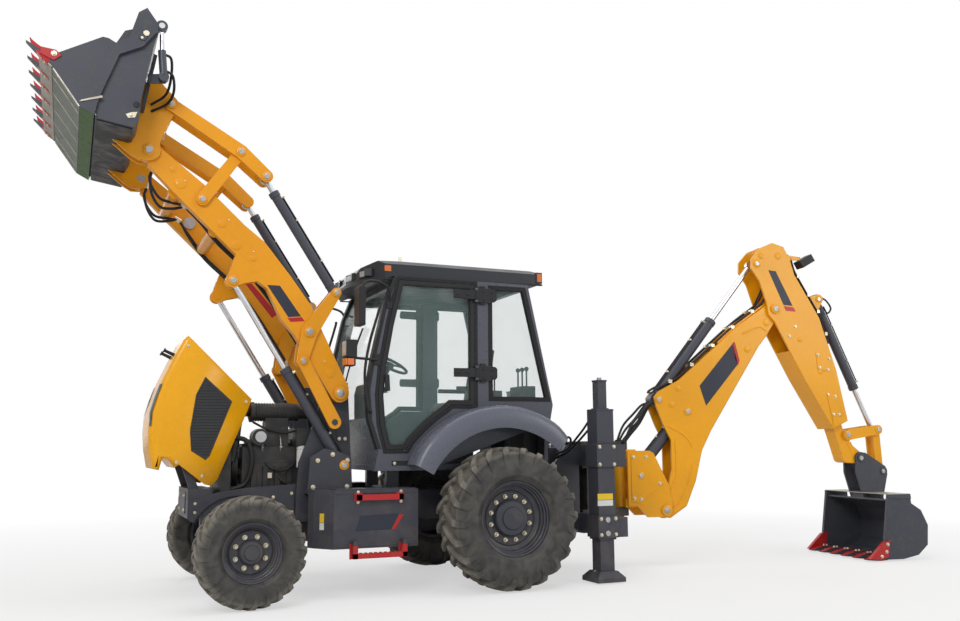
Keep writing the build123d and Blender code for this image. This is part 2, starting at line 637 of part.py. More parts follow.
def levelling():
    lever = None
    for y0, y1 in (LAYER_1, INNER_1):
        shape = strap((*LEVER_TOP, 48), (*LEVER_PIN, 78)) + strap((*LEVER_PIN, 78), (*LEVER_LOW, 50))
        plate = slab(shape, y0, y1)
        plate -= disc(LEVER_TOP, 28 + RUN, y0 - 5, y1 + 5)
        lever = plate if lever is None else lever + plate
    lever += disc(LEVER_PIN, 35, INNER_1[0], LAYER_1[1] + 6)
    lever += disc(LEVER_LOW, 28, LAYER_1[0], LAYER_2[1] + 6)
    save_pair("level_levers", lever)
    save_pair("ram_pins", disc(LEVER_TOP, 28, INNER_1[0] - 5, LAYER_1[1] + 5))
    link = slab(strap((*LEVER_LOW, 55), (*LINK_BASE, 62)), *LAYER_2)
    for pin in (LEVER_LOW, LINK_BASE):
        link -= disc(pin, 28 + RUN, LAYER_2[0] - 5, LAYER_2[1] + 5)
    save_pair("level_links", link)


def tilt_linkage():
    strut = slab(strap((*GUIDE_PIN, 58), (*TILT_MID, 52)), *LAYER_1)
    strut -= disc(GUIDE_PIN, 28 + RUN, LAYER_1[0] - 5, LAYER_1[1] + 5)
    save_pair("guide_struts", strut)
    pin = disc(GUIDE_PIN, 28, ARM_IN - 6, LAYER_1[1] + 3)
    pin += disc(GUIDE_PIN, PIN_FLANGE_R, ARM_IN - 6 - PIN_FLANGE_T, ARM_IN - 6)
    save_pair("guide_pins", pin)
    link = None
    for y0, y1 in (LAYER_2, INNER_2):
        shape = strap((*TILT_FRONT, 58), (*TILT_MID, 66)) + strap((*TILT_MID, 66), (*TILT_REAR, 58))
        plate = slab(shape, y0, y1)
        plate -= disc(TILT_FRONT, 30 + RUN, y0 - 5, y1 + 5)
        link = plate if link is None else link + plate
    stub_gap = TILT_ROD_R + 5
    link += disc(TILT_REAR, 32, INNER_2[0], ARM_MID - stub_gap)
    link += disc(TILT_REAR, 32, ARM_MID + stub_gap, LAYER_2[1])
    save_pair("tilt_links", link)
    save_pair("link_pins", disc(TILT_FRONT, 30, INNER_2[0] - 6, LAYER_2[1] + 8))
    tube, rod = ram(LEVER_TOP, TILT_REAR, ARM_MID, TILT_TUBE_R, TILT_ROD_R, TILT_TUBE_L, TILT_ROD_L, 28)
    save_pair("tilt_tubes", tube)
    save_pair("tilt_rods", rod)


COUPLER = (
    (3360, 4600), (3200, 4610), (3060, 4470), (3050, 4386), (3099, 4303), (3193, 4054), (3189, 3930),
    (3289, 3875), (3370, 3872), (3441, 3911), (3600, 4040), (3600, 4100), (3420, 4250),
)


def loader_coupler():
    half = None
    for y0, y1 in (LAYER_1, INNER_1):
        plate = slab(outline(*COUPLER), y0, y1) + slab(spot(HEAD_PIN, 100) + spot(TILT_FRONT, 60), y0, y1)
        half = plate if half is None else half + plate
    half -= disc(HEAD_PIN, 40 + RUN, INNER_1[0] - 5, LAYER_1[1] + 5)
    half -= disc(TILT_FRONT, 30 + RUN, INNER_1[0] - 5, LAYER_1[1] + 5)
    back_plate = outline((3230, 4580), (3180, 4560), (3235, 4330), (3275, 4330))
    half += slab(back_plate, INNER_1[1] - 2, LAYER_1[0] + 2)
    return half


# bucket profile, outside, from the top of the back wall down and round to the lip
BLADE = ((3270, 4930), (3298, 4830), (3345, 4590), (3394, 4250), (3405, 4090), (3440, 4020), (3728, 4064))
FLOOR = ((3758, 4075), (3869, 4132), (4098, 4450), (4195, 4540))
JAW_SIDE = (
    (3758, 4075), (3869, 4132), (4098, 4450), (4195, 4540), (4070, 4566), (3722, 4771), (3675, 4766),
    (3618, 4736), (3510, 4813), (3447, 5043), (3380, 5095), (3289, 4972), (3285, 4900), (3400, 4740),
    (3584, 4640), (3728, 4227),
)
BLADE_SIDE = (
    (3270, 4930), (3298, 4830), (3345, 4590), (3394, 4250), (3405, 4090), (3440, 4020), (3728, 4064),
    (3800, 4240), (3660, 4660), (3550, 4870), (3400, 4930),
)


def band(points, thickness):
    """A closed strip along a line of points, on its left side."""
    line = Polyline(*points)
    edge = offset(line, thickness, side=Side.LEFT, kind=Kind.INTERSECTION, closed=True)
    return make_face(edge)


def loader_bucket():
    shell = slab(band(BLADE, BUCKET_WALL), -BUCKET_HALF + 60, BUCKET_HALF - 60)
    for sign in (1, -1):
        shell += slab(outline(*BLADE_SIDE), *across(sign, BUCKET_HALF - 60, BUCKET_HALF - 34))
        shell += disc(JAW_PIN, 32, *across(sign, BUCKET_HALF - 60, BUCKET_HALF + 6))
    half = loader_coupler()
    half -= slab(outline(*BLADE_SIDE), INNER_1[0] - 5, LAYER_1[1] + 5)
    save("loader_bucket", shell)
    save_pair("loader_coupler", half)
    save_pair("head_pins", disc(HEAD_PIN, 40, INNER_1[0], LAYER_1[1]))


def bucket_jaw():
    floor = slab(band(FLOOR, BUCKET_WALL), -BUCKET_HALF + 5, BUCKET_HALF - 5)
    for sign in (1, -1):
        plate = slab(outline(*JAW_SIDE), *across(sign, BUCKET_HALF - 28, BUCKET_HALF))
        plate -= disc(JAW_PIN, 32 + RUN, *across(sign, BUCKET_HALF - 40, BUCKET_HALF + 20))
        floor += plate
    lip = FLOOR[-1]
    direction = Vector(lip[0] - FLOOR[-2][0], lip[1] - FLOOR[-2][1]).normalized()
    tip = (lip[0] + direction.X * TOOTH_L, lip[1] + direction.Y * TOOTH_L)
    root = (lip[0] - direction.X * 60, lip[1] - direction.Y * 60)
    normal = (-direction.Y, direction.X)
    tooth = outline(
        (root[0] - normal[0] * 8, root[1] - normal[1] * 8), (tip[0], tip[1]),
        (root[0] + normal[0] * (TOOTH_H + 8), root[1] + normal[1] * (TOOTH_H + 8)),
    )
    pitch = 2 * (BUCKET_HALF - TOOTH_W / 2) / (TOOTH_COUNT - 1)
    for i in range(TOOTH_COUNT):
        y = -BUCKET_HALF + TOOTH_W / 2 + i * pitch
        floor += slab(tooth, y - TOOTH_W / 2, y + TOOTH_W / 2)
    save("bucket_jaw", floor)


# ---------------------------------------------------------------- rear frame and stabilisers
COLLARS = ((1110.0, 1335.0), (430.0, 640.0))  # z0, z1 of the plates wrapped round the leg tube
COLLAR_T = 16.0


def stabilizer_frame():
    x0, x1 = LEG_TUBE_X
    y0 = LEG_TUBE_Y1 - LEG_TUBE
    xm, ym = (x0 + x1) / 2, (y0 + LEG_TUBE_Y1) / 2
    tube = box(x0, x1, y0, LEG_TUBE_Y1, *LEG_TUBE_Z)
    for z0, z1 in COLLARS:
        tube += box(x0 - COLLAR_T, x1 + COLLAR_T, y0 - COLLAR_T, LEG_TUBE_Y1 + COLLAR_T, z0, z1)
    hole = LEG / 2 + SLIDE
    tube -= box(xm - hole, xm + hole, ym - hole, ym + hole, LEG_TUBE_Z[0] - 5, LEG_TUBE_Z[1] - 20)
    tube += box(xm - MAST / 2, xm + MAST / 2, ym - MAST / 2, ym + MAST / 2, LEG_TUBE_Z[1] - 5, MAST_TOP)
    frame = tube + mirrored(tube)
    for z0, z1 in BEAMS:
        frame += box(BEAM_X0, BEAM_X1 + 5, -LEG_TUBE_Y1, LEG_TUBE_Y1, z0, z1)
    cheek = outline(
        (-700, RAIL_Z0), (FRAME_REAR, RAIL_Z0 - 60), (BEAM_X1 + 2, BEAMS[1][0]), (BEAM_X1 + 2, BEAMS[0][1]),
        (-1000, BEAMS[0][1]), (-700, RAIL_Z1),
    )
    for sign in (1, -1):
        frame += slab(cheek, *across(sign, RAIL_OUT, RAIL_OUT + 40))
    save("stabilizer_frame", frame)


def stabilizer_legs():
    x0, x1 = LEG_TUBE_X
    xm, ym = (x0 + x1) / 2, LEG_TUBE_Y1 - LEG_TUBE / 2
    half = LEG / 2
    leg = box(xm - half, xm + half, ym - half, ym + half, LEG_Z0, LEG_Z1)
    top = FOOT_Z0 + FOOT_H
    foot = Pos(xm, ym, FOOT_Z0 + 20) * Box(FOOT_L, FOOT_L, 40)
    sole = Pos(xm, ym, FOOT_Z0 + 40) * Rectangle(FOOT_L, FOOT_L)
    foot += loft([sole, Pos(xm, ym, top) * Rectangle(200, 200)])
    leg = leg + foot
    save("stabilizer_leg_left", leg)
    save("stabilizer_leg_right", mirrored(leg))


# ---------------------------------------------------------------- backhoe
def behind(points):
    """Turns (distance behind the swing pin, height) into (x, z)."""
    return tuple((SWING_PIN_X - s, z) for s, z in points)


def at(point):
    return (SWING_PIN_X - point[0], point[1])


def swung(shape):
    return Pos(SWING_PIN_X, 0, 0) * Rot(0, 0, -SWING) * Pos(-SWING_PIN_X, 0, 0) * shape


CARRIAGE_HALF = 330.0
CARRIAGE_X0 = BEAM_X0 - 70.0
LUGS = ((545.0, 640.0), (1275.0, 1368.0))  # z0, z1 of the carriage's swing lugs


def carriage():
    z0, z1 = BEAMS[1][0] - 20, BEAMS[0][1] + 30
    plate = box(CARRIAGE_X0, BEAM_X0 - SEAT, -CARRIAGE_HALF, CARRIAGE_HALF, z0, z1)
    for low, high in BEAMS:
        for z in (low - 26, high + SEAT):
            plate += box(CARRIAGE_X0, BEAM_X0 + 60, -CARRIAGE_HALF, CARRIAGE_HALF, z, z + 26 - SEAT)
    for low, high in LUGS:
        root = CARRIAGE_X0 + 5
        wedge = outline((root, -190), (root, 190), (SWING_PIN_X, 95), (SWING_PIN_X, -95))
        wedge += Pos(SWING_PIN_X, 0) * Circle(95)
        plate += Pos(0, 0, low) * extrude(wedge, amount=high - low)
    low, high = LUGS[0][0], LUGS[1][1]
    plate += Pos(SWING_PIN_X, 0, (low + high) / 2) * Cylinder(SWING_PIN_R, high - low + 30)
    save("carriage", plate)


KINGPOST = (
    (20, 655), (20, 1260), (285, 1260), (335, 1235), (510, 880), (545, 700), (540, 560), (420, 530),
    (250, 530), (130, 655),
)


def kingpost():
    z0, z1 = LUGS[0][1] + SEAT, LUGS[1][0] - SEAT
    post = Pos(SWING_PIN_X, 0, (z0 + z1) / 2) * Cylinder(82, z1 - z0)
    inner = BOOM_HALF + 30 + GAP
    for sign in (1, -1):
        post += slab(outline(*behind(KINGPOST)), *across(sign, inner, inner + 35))
    for low, high in ((z0, z0 + 90), (z1 - 90, z1)):
        post += box(SWING_PIN_X - 130, SWING_PIN_X, -inner - 5, inner + 5, low, high)
    post -= Pos(SWING_PIN_X, 0, (z0 + z1) / 2) * Cylinder(SWING_PIN_R + RUN, z1 - z0 + 40)
    post += disc(at(BOOM_PIN), 38, -inner - 45, inner + 45)
    post += disc(at(BOOM_RAM_BASE), 34, -inner - 5, inner + 5)
    save("kingpost", swung(post))


BOOM_PLATE = (
    (380, 575), (420, 530), (552, 524), (754, 651), (877, 926), (967, 1262), (1091, 1488), (1763, 2483),
    (1900, 2640), (2060, 2860), (2050, 2990), (1960, 3010), (1512, 2714), (974, 2269), (712, 2058),
    (457, 1930), (400, 1860), (415, 1771), (505, 1545), (590, 1377), (590, 1041), (541, 876), (410, 690),
)
BOOM_BACK = ((552, 524), (754, 651), (877, 926), (967, 1262), (1091, 1488), (1763, 2483), (1900, 2640))
BOOM_TOP = ((1900, 2980), (1512, 2714), (1250, 2497))
BOOM_PLATE_T = 28.0


def boom():
    beam = None
    for sign in (1, -1):
        shape = outline(*behind(BOOM_PLATE)) + spot(at(BOOM_PIN), 92)
        plate = slab(shape, *across(sign, BOOM_HALF - BOOM_PLATE_T, BOOM_HALF))
        beam = plate if beam is None else beam + plate
    web = BOOM_HALF - BOOM_PLATE_T + 1
    beam += slab(band(behind(BOOM_BACK), 20), -web, web)
    beam += slab(band(behind(BOOM_TOP), 20), -web, web)
    beam += disc(at(BOOM_PIN), 85, -web, web)
    beam += disc(at(BOOM_TIP), 85, -web, web)
    beam -= disc(at(BOOM_PIN), 38 + RUN, -BOOM_HALF - 5, BOOM_HALF + 5)
    beam -= disc(at(BOOM_TIP), 40 + RUN, -BOOM_HALF - 5, BOOM_HALF + 5)
    beam += disc(at(DIP_RAM_BASE), 34, -web, web)
    save("boom", swung(beam))


PAD_AT = (1050.0, 1430.0)  # wear pads, as distances down the stick
PAD_L = 100.0
STICK_TOP, STICK_LOW = (2329.0, 3050.0), (2920.0, 1100.0)
STICK_W = 120.0


def stick_at(distance, side):
    """A point on the stick's own grid: distance down from its top, side away from the machine."""
    length = hypot(STICK_LOW[0] - STICK_TOP[0], STICK_LOW[1] - STICK_TOP[1])
    down = ((STICK_LOW[0] - STICK_TOP[0]) / length, (STICK_LOW[1] - STICK_TOP[1]) / length)
    return (
        STICK_TOP[0] + down[0] * distance - down[1] * side,
        STICK_TOP[1] + down[1] * distance + down[0] * side,
    )


DIPPER_PLATE = (
    (1697, 3400), (1705, 3520), (1828, 3655), (1994, 3725), (2142, 3683), (2226, 3520), (2271, 3347),
    (2581, 2831), (2773, 2203), (2890, 1595), (2690, 1500), (2329, 2101), (1978, 2765), (1900, 2850),
    (1880, 3000), (1800, 3250),
)
DIPPER_FRONT = ((2690, 1500), (2329, 2101), (2160, 2418))
DIPPER_BACK = ((2142, 3683), (2226, 3520), (2271, 3347), (2581, 2831), (2773, 2203), (2890, 1595))
DIPPER_PLATE_T = 25.0
STICK_SLOT = 88.0

# work lamp behind the dipper's head, on a flat bracket
LAMP_BRACKET = ((2150, 3520), (2150, 3590), (2380, 3570), (2380, 3530))
WORK_LAMP = ((2340, 3510), (2500, 3600), (2545, 3525), (2385, 3435))
LAMP_Y0, LAMP_Y1 = 60.0, 190.0


def dipper():
    beam = None
    for sign in (1, -1):
        plate = slab(outline(*behind(DIPPER_PLATE)), *across(sign, DIPPER_HALF - DIPPER_PLATE_T, DIPPER_HALF))
        beam = plate if beam is None else beam + plate
    web = DIPPER_HALF - DIPPER_PLATE_T + 1
    beam += slab(band(behind(DIPPER_FRONT), 18), -web, web)
    back = slab(band(behind(tuple(reversed(DIPPER_BACK))), 18), -web, web)
    back -= box(SWING_PIN_X - 3100, SWING_PIN_X - 2000, -STICK_SLOT, STICK_SLOT, 1750, 3300)
    beam += back
    for start in PAD_AT:
        end = start + PAD_L
        corners = (stick_at(start, -50), stick_at(start, 50), stick_at(end, 50), stick_at(end, -50))
        pad = outline(*behind(corners))
        for sign in (1, -1):
            beam += slab(pad, *across(sign, STICK_HALF + SLIDE, web + 1))
    beam += disc(at(BOOM_TIP), 40, -DIPPER_HALF - 12, DIPPER_HALF + 12)
    bracket_y = DIPPER_HALF - DIPPER_PLATE_T
    beam += slab(outline(*behind(LAMP_BRACKET)), bracket_y, bracket_y + 12)
    beam += slab(outline(*behind(WORK_LAMP)), LAMP_Y0, LAMP_Y1)
    save("dipper", swung(beam))


# ---------------------------------------------------------------- stick and bucket
def stick():
    w = STICK_W / 2
    body = (stick_at(0, -w), stick_at(0, w), stick_at(1990, w), stick_at(1990, -w))
    shape = slab(outline(*behind(body)), -STICK_HALF, STICK_HALF)
    nose = strap((*at(STICK_TIP), 66), (*at(stick_at(1975, 0)), 62), (*at(stick_at(1800, 0)), 60))
    nose += strap((*at(LEVER2_PIN), 62), (*at(stick_at(1700, 10)), 50), (*at(stick_at(1850, 10)), 50))
    shape += slab(nose, -STICK_HALF, STICK_HALF)
    shape -= disc(at(STICK_TIP), 34 + RUN, -STICK_HALF - 5, STICK_HALF + 5)
    shape += disc(at(LEVER2_PIN), 40, -STICK_HALF - 34, STICK_HALF + 34)
    ears = (stick_at(0, 50), stick_at(420, 50), stick_at(330, 130), (2700, 3060), (2650, 3130), (2600, 3120))
    cheek = outline(*behind(ears))
    cheek += spot(at(BKT_RAM_BASE), 60)
    for sign in (1, -1):
        shape += slab(cheek, *across(sign, CHEEK_IN, CHEEK_OUT))
    shape += disc(at(BKT_RAM_BASE), 28, -CHEEK_IN - 5, CHEEK_IN + 5)
    save("stick", swung(shape))


CHEEK_IN, CHEEK_OUT = 58.0, 80.0
LINK_IN, LINK_OUT = 40.0, 70.0


def bucket_links():
    lever_in, lever_out = STICK_HALF + 5, STICK_HALF + 29
    lever = None
    for sign in (1, -1):
        shape = strap((*at(LEVER2_PIN), 62), (*at(LEVER2_TIP), 55))
        plate = slab(shape, *across(sign, lever_in, lever_out))
        plate -= disc(at(LEVER2_PIN), 40 + RUN, -200, 200)
        plate += disc(at(LEVER2_TIP), 28, *across(sign, LINK_OUT + GAP, lever_out))
        lever = plate if lever is None else lever + plate
    save("tip_lever", swung(lever))
    link = None
    for sign in (1, -1):
        plate = slab(strap((*at(LEVER2_TIP), 50), (*at(COUPLER_EYE), 50)), *across(sign, LINK_IN, LINK_OUT))
        plate -= disc(at(COUPLER_EYE), 28 + RUN, -200, 200)
        link = plate if link is None else link + plate
    save("tip_link", swung(link))


DIG_PROFILE = (
    (3065, 690), (3347, 640), (3475, 561), (3555, 390), (3535, 170), (3404, 60), (3199, 20), (2920, 20),
)
DIG_SIDE = (
    (3040, 745), (3342, 745), (3350, 640), (3475, 561), (3555, 390), (3535, 170), (3404, 60), (3199, 20),
    (2900, 20), (2960, 200), (3010, 420),
)
COUPLER_EAR = (
    (2995, 1130), (3040, 1222), (3130, 1215), (3400, 1050), (3420, 960), (3345, 690), (3070, 690),
    (2990, 980),
)
EAR_IN, EAR_OUT = STICK_HALF + 5, STICK_HALF + 30
DIG_TOOTH = ((3010, 20), (3010, 70), (2900, 70), (2740, 22), (2900, 12))
SIDE_CUTTER = ((2990, 60), (3020, 230), (2945, 215), (2750, 34), (2900, 24))
CUTTER_T = 18.0


def backhoe_bucket():
    bucket = slab(band(behind(DIG_PROFILE), 20), -DIG_HALF + 5, DIG_HALF - 5)
    for sign in (1, -1):
        bucket += slab(outline(*behind(DIG_SIDE)), *across(sign, DIG_HALF - 25, DIG_HALF))
    pitch = 2 * (DIG_HALF - 60) / (DIG_TEETH - 1)
    for i in range(DIG_TEETH):
        y = -DIG_HALF + 60 + i * pitch
        bucket += slab(outline(*behind(DIG_TOOTH)), y - 45, y + 45)
    for sign in (1, -1):
        bucket += slab(outline(*behind(SIDE_CUTTER)), *across(sign, DIG_HALF - 5, DIG_HALF + CUTTER_T))
    for sign in (1, -1):
        ear = outline(*behind(COUPLER_EAR)) + spot(at(STICK_TIP), 72) + spot(at(COUPLER_EYE), 62)
        bucket += slab(ear, *across(sign, EAR_IN, EAR_OUT))
    bucket += disc(at(STICK_TIP), 34, -EAR_OUT - 8, EAR_OUT + 8)
    bucket += disc(at(COUPLER_EYE), 28, -EAR_OUT - 8, EAR_OUT + 8)
    bucket += box(SWING_PIN_X - 3345, SWING_PIN_X - 3070, -EAR_OUT, EAR_OUT, 672, 760)
    save("backhoe_bucket", swung(bucket))


# columns: name, base pin, rod eye, tube radius, rod radius, tube length, rod length, pin radius
BACKHOE_RAMS = (
    ("boom", BOOM_RAM_BASE, BOOM_RAM_EYE, 68.0, 38.0, 730.0, 740.0, 34.0),
    ("dipper", DIP_RAM_BASE, DIP_RAM_EYE, 62.0, 34.0, 1215.0, 1205.0, 34.0),
    ("bucket", BKT_RAM_BASE, BKT_RAM_EYE, 52.0, 30.0, 1190.0, 1160.0, 28.0),
)


def backhoe_rams():
    for name, base, eye, tube_r, rod_r, tube_l, rod_l, pin_r in BACKHOE_RAMS:
        tube, rod = ram(at(base), at(eye), 0, tube_r, rod_r, tube_l, rod_l, pin_r)
        save(f"{name}_ram_tube", swung(tube))
        save(f"{name}_ram_rod", swung(rod))


for make in (
    wheels, front_axle, knuckle, rear_axle, chassis_frame, engine, side_tanks,
    cab_frame, cab_roof, cab_glass, door, rear_fenders, seat, console, lamps_mirrors, hood,
    loader_arms, lift_rams, levelling, tilt_linkage, loader_bucket, bucket_jaw,
    stabilizer_frame, stabilizer_legs, carriage, kingpost, boom, dipper, stick, bucket_links,
    backhoe_bucket, backhoe_rams,
):
    make()
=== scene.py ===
"""Backhoe loader with its bonnet open, its loader raised and its backhoe parked a little to the left.

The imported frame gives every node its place. This script paints the nodes, puts finer pieces in place of
some of them, and adds what the solids leave out. Lengths are in millimetres unless a name says otherwise.
"""

from math import cos, hypot, pi, radians, sin

import bmesh
import bpy
from mathutils import Matrix, Vector


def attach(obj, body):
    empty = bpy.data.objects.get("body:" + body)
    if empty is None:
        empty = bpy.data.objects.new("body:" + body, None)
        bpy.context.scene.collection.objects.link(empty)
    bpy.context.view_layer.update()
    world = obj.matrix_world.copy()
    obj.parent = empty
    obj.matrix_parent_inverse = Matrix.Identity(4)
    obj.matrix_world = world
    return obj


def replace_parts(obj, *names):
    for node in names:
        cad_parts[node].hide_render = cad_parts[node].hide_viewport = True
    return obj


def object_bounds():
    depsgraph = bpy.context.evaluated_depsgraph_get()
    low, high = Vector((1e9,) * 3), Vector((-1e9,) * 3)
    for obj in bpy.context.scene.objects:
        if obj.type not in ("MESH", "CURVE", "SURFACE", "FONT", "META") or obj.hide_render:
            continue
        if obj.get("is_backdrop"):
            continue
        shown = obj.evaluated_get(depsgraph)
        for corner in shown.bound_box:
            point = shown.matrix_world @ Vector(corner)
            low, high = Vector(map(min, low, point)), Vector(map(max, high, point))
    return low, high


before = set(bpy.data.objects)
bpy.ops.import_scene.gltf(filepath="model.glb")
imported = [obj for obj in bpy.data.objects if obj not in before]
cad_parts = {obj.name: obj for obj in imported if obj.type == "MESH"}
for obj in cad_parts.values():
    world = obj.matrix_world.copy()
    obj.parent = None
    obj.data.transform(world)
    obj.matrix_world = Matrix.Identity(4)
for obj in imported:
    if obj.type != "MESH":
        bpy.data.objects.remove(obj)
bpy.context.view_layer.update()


# ------------------------------------------------------------------ yellow loader arms
# Two welded box arms carry the bucket. They are cut from plate, shot-blasted, primed and sprayed with
# yellow enamel, which comes out slightly rippled and gathers dust and scuffs low down.
class Shade:
    """A shader socket. Arithmetic on it adds Math nodes to its coat."""

    def __init__(self, coat, socket):
        self.coat = coat
        self.socket = socket

    def maths(self, operation, left, right):
        return self.coat.node("Math", {"operation": operation}, {0: left, 1: right})

    def __add__(self, other):
        return self.maths("ADD", self, other)

    def __radd__(self, other):
        return self.maths("ADD", other, self)

    def __sub__(self, other):
        return self.maths("SUBTRACT", self, other)

    def __rsub__(self, other):
        return self.maths("SUBTRACT", other, self)

    def __mul__(self, other):
        return self.maths("MULTIPLY", self, other)

    def __rmul__(self, other):
        return self.maths("MULTIPLY", other, self)

    def root(self):
        return self.maths("SQRT", self, 0.0)


class Coat:
    """A material being mixed: its nodes, and the shader that they feed."""

    def __init__(self, name):
        self.material = bpy.data.materials.new(name)
        self.material.use_nodes = True
        self.tree = self.material.node_tree
        self.shader = self.tree.nodes["Principled BSDF"]
        self.place = self.node("TexCoord", {}, {}, 3)

    def feed(self, socket, value):
        if isinstance(value, Shade):
            self.tree.links.new(value.socket, socket)
        else:
            socket.default_value = value

    def node(self, kind, settings, values, output=0):
        made = self.tree.nodes.new("ShaderNode" + kind)
        for key, value in settings.items():
            setattr(made, key, value)
        for key, value in values.items():
            self.feed(made.inputs[key], value)
        return Shade(self, made.outputs[output])

    def noise(self, scale, detail=4.0, distortion=0.0):
        return self.node(
            "TexNoise", {}, {"Vector": self.place, "Scale": scale, "Detail": detail, "Distortion": distortion}
        )

    def step(self, value, start, end):
        """A ramp on a value, from 0 at start to 1 at end."""
        return self.node("MapRange", {}, {"Value": value, "From Min": start, "From Max": end})

    def axis(self, index):
        """The x, y or z of a place on the piece, in metres."""
        return self.node("SeparateXYZ", {}, {"Vector": self.place}, index)

    def blend(self, factor, one, two):
        return self.node("Mix", {"data_type": "RGBA"}, {0: factor, 6: one, 7: two}, 2)

    def bump(self, height, depth, edge=0.0):
        """A bump of some depth in metres, over edges that are rounded by the shader."""
        values = {"Height": height, "Distance": depth, "Strength": 1.0}
        if edge:
            values["Normal"] = self.node("Bevel", {"samples": 3}, {"Radius": edge})
        return self.node("Bump", {}, values)

    def finish(self, **values):
        for name, value in values.items():
            self.feed(self.shader.inputs[name.replace("_", " ")], value)
        return self


def rgb(*levels):
    return (*levels, 1.0)


def enamel(name, tone, dusty=0.35, gloss=0.32, edge=0.004):
    """Sprayed enamel: slow drifts of tone, fine ripple, dust that settles low down and a few dry patches."""
    coat = Coat(name)
    drift = coat.step(coat.noise(1.4, 3.0), 0.3, 0.7)
    mottle = coat.step(coat.noise(22.0, 5.0, 0.4), 0.35, 0.75)
    dark = rgb(*(0.80 * level for level in tone[:3]))
    colour = coat.blend(drift * 0.5 + mottle * 0.18, tone, dark)
    height = coat.step(coat.axis(2), 1.5, 0.1)
    dust = height * coat.step(coat.noise(6.5, 7.0, 0.6), 0.42, 0.72) * dusty
    specks = coat.step(coat.noise(140.0, 2.0), 0.66, 0.78) * 0.25
    colour = coat.blend(dust + specks * dusty, colour, rgb(0.21, 0.165, 0.115))
    ripple = coat.noise(260.0, 2.0) * 0.5 + coat.noise(48.0, 3.0) * 0.5
    coat.finish(
        Base_Color=colour,
        Roughness=gloss + mottle * 0.10 + dust * 0.45,
        Normal=coat.bump(ripple, 0.00045, edge),
        Coat_Weight=0.08,
        Coat_Roughness=0.15,
        Specular_IOR_Level=0.32,
    )
    return coat


YELLOW_TONE = rgb(0.86, 0.35, 0.010)
SLATE_TONE = rgb(0.062, 0.065, 0.084)
yellow = enamel("yellow enamel", YELLOW_TONE, 0.25)
slate = enamel("slate enamel", SLATE_TONE, 0.30, 0.38)


def dress(coat, *nodes):
    """Gives CAD nodes their coat."""
    for name in nodes:
        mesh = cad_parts[name].data
        mesh.materials.clear()
        mesh.materials.append(coat.material)


dress(yellow, "loader_arms", "level_levers", "level_links", "guide_struts", "tilt_links", "loader_coupler")


# ------------------------------------------------------------------ pins and rods
# The linkage pins are turned steel with a grease film; the cylinder rods are ground and hard-chromed,
# and stay bright except for a faint drag of oil along them.
def metal(name, tone, roughness, streak=0.12, edge=0.0):
    coat = Coat(name)
    film = coat.step(coat.noise(9.0, 5.0, 0.8), 0.35, 0.75)
    grain = coat.noise(210.0, 3.0)
    coat.finish(
        Base_Color=coat.blend(film * 0.5, tone, rgb(*(0.55 * level for level in tone[:3]))),
        Metallic=1.0 - film * 0.12,
        Roughness=roughness + film * streak + grain * 0.05,
        Normal=coat.bump(grain, 0.00012, edge),
    )
    return coat


pin_steel = metal("greased pin steel", rgb(0.42, 0.42, 0.43), 0.34, 0.25)
chrome = metal("hard chrome", rgb(0.78, 0.79, 0.81), 0.09, 0.14)
zinc = metal("yellow zinc plate", rgb(0.66, 0.60, 0.46), 0.32, 0.2)
dress(pin_steel, "head_pins", "guide_pins", "link_pins", "ram_pins")
dress(chrome, "lift_rods", "tilt_rods", "boom_ram_rod", "dipper_ram_rod", "bucket_ram_rod")
dress(slate, "lift_tubes", "tilt_tubes", "boom_ram_tube", "dipper_ram_tube", "bucket_ram_tube")


# ------------------------------------------------------------------ loader bucket
# A four-in-one bucket: a back blade and a hinged jaw with side plates, enamelled slate grey, with the
# green primer showing under the floor, where digging rubs the enamel off, and red cast teeth.
def bucket_coat(name, bare, tone=SLATE_TONE, primer=rgb(0.075, 0.092, 0.055)):
    coat = Coat(name)
    drift = coat.step(coat.noise(3.0, 4.0), 0.3, 0.7)
    rub = coat.step(coat.noise(16.0, 7.0, 1.2), 0.5, 0.72)
    scratch = coat.step(coat.noise(95.0, 2.0, 2.5), 0.60, 0.74) * rub
    colour = coat.blend(drift * 0.5, tone, rgb(*(0.75 * level for level in tone[:3])))
    colour = coat.blend(rub * bare, colour, primer)
    colour = coat.blend(scratch * bare, colour, rgb(0.24, 0.22, 0.19))
    coat.finish(
        Base_Color=colour,
        Roughness=0.42 + rub * 0.2,
        Metallic=scratch * bare * 0.6,
        Normal=coat.bump(coat.noise(70.0, 5.0), 0.0006, 0.004),
        Specular_IOR_Level=0.3,
    )
    return coat


worn_slate = bucket_coat("worn slate enamel", 0.5)
dress(worn_slate, "loader_bucket", "bucket_jaw", "backhoe_bucket")


# ------------------------------------------------------------------ frame, axles and stabilisers
# Flame-cut plate and rolled tube, welded, enamelled in the same slate grey. What hangs under the
# machine is the dustiest part of it.
low_slate = enamel("dusty slate enamel", rgb(0.050, 0.052, 0.066), 0.28, 0.40)
cast_black = enamel("black axle enamel", rgb(0.022, 0.022, 0.025), 0.75, 0.48)
dress(
    low_slate, "chassis_frame", "side_tanks", "stabilizer_frame", "stabilizer_leg_left",
    "stabilizer_leg_right",
)
dress(cast_black, "front_axle", "rear_axle", "knuckle_left", "knuckle_right", "carriage")


# ------------------------------------------------------------------ engine
# A four-cylinder diesel with its radiator, air cleaner, filters, alternator and fan, sprayed black and
# oily, as one block.
def greasy(name, tone):
    coat = Coat(name)
    oil = coat.step(coat.noise(7.0, 6.0, 0.8), 0.4, 0.7)
    coat.finish(
        Base_Color=coat.blend(oil * 0.7, tone, rgb(0.05, 0.042, 0.032)),
        Roughness=0.58 - oil * 0.25,
        Metallic=0.2,
        Normal=coat.bump(coat.noise(85.0, 6.0), 0.0012, 0.003),
    )
    return coat


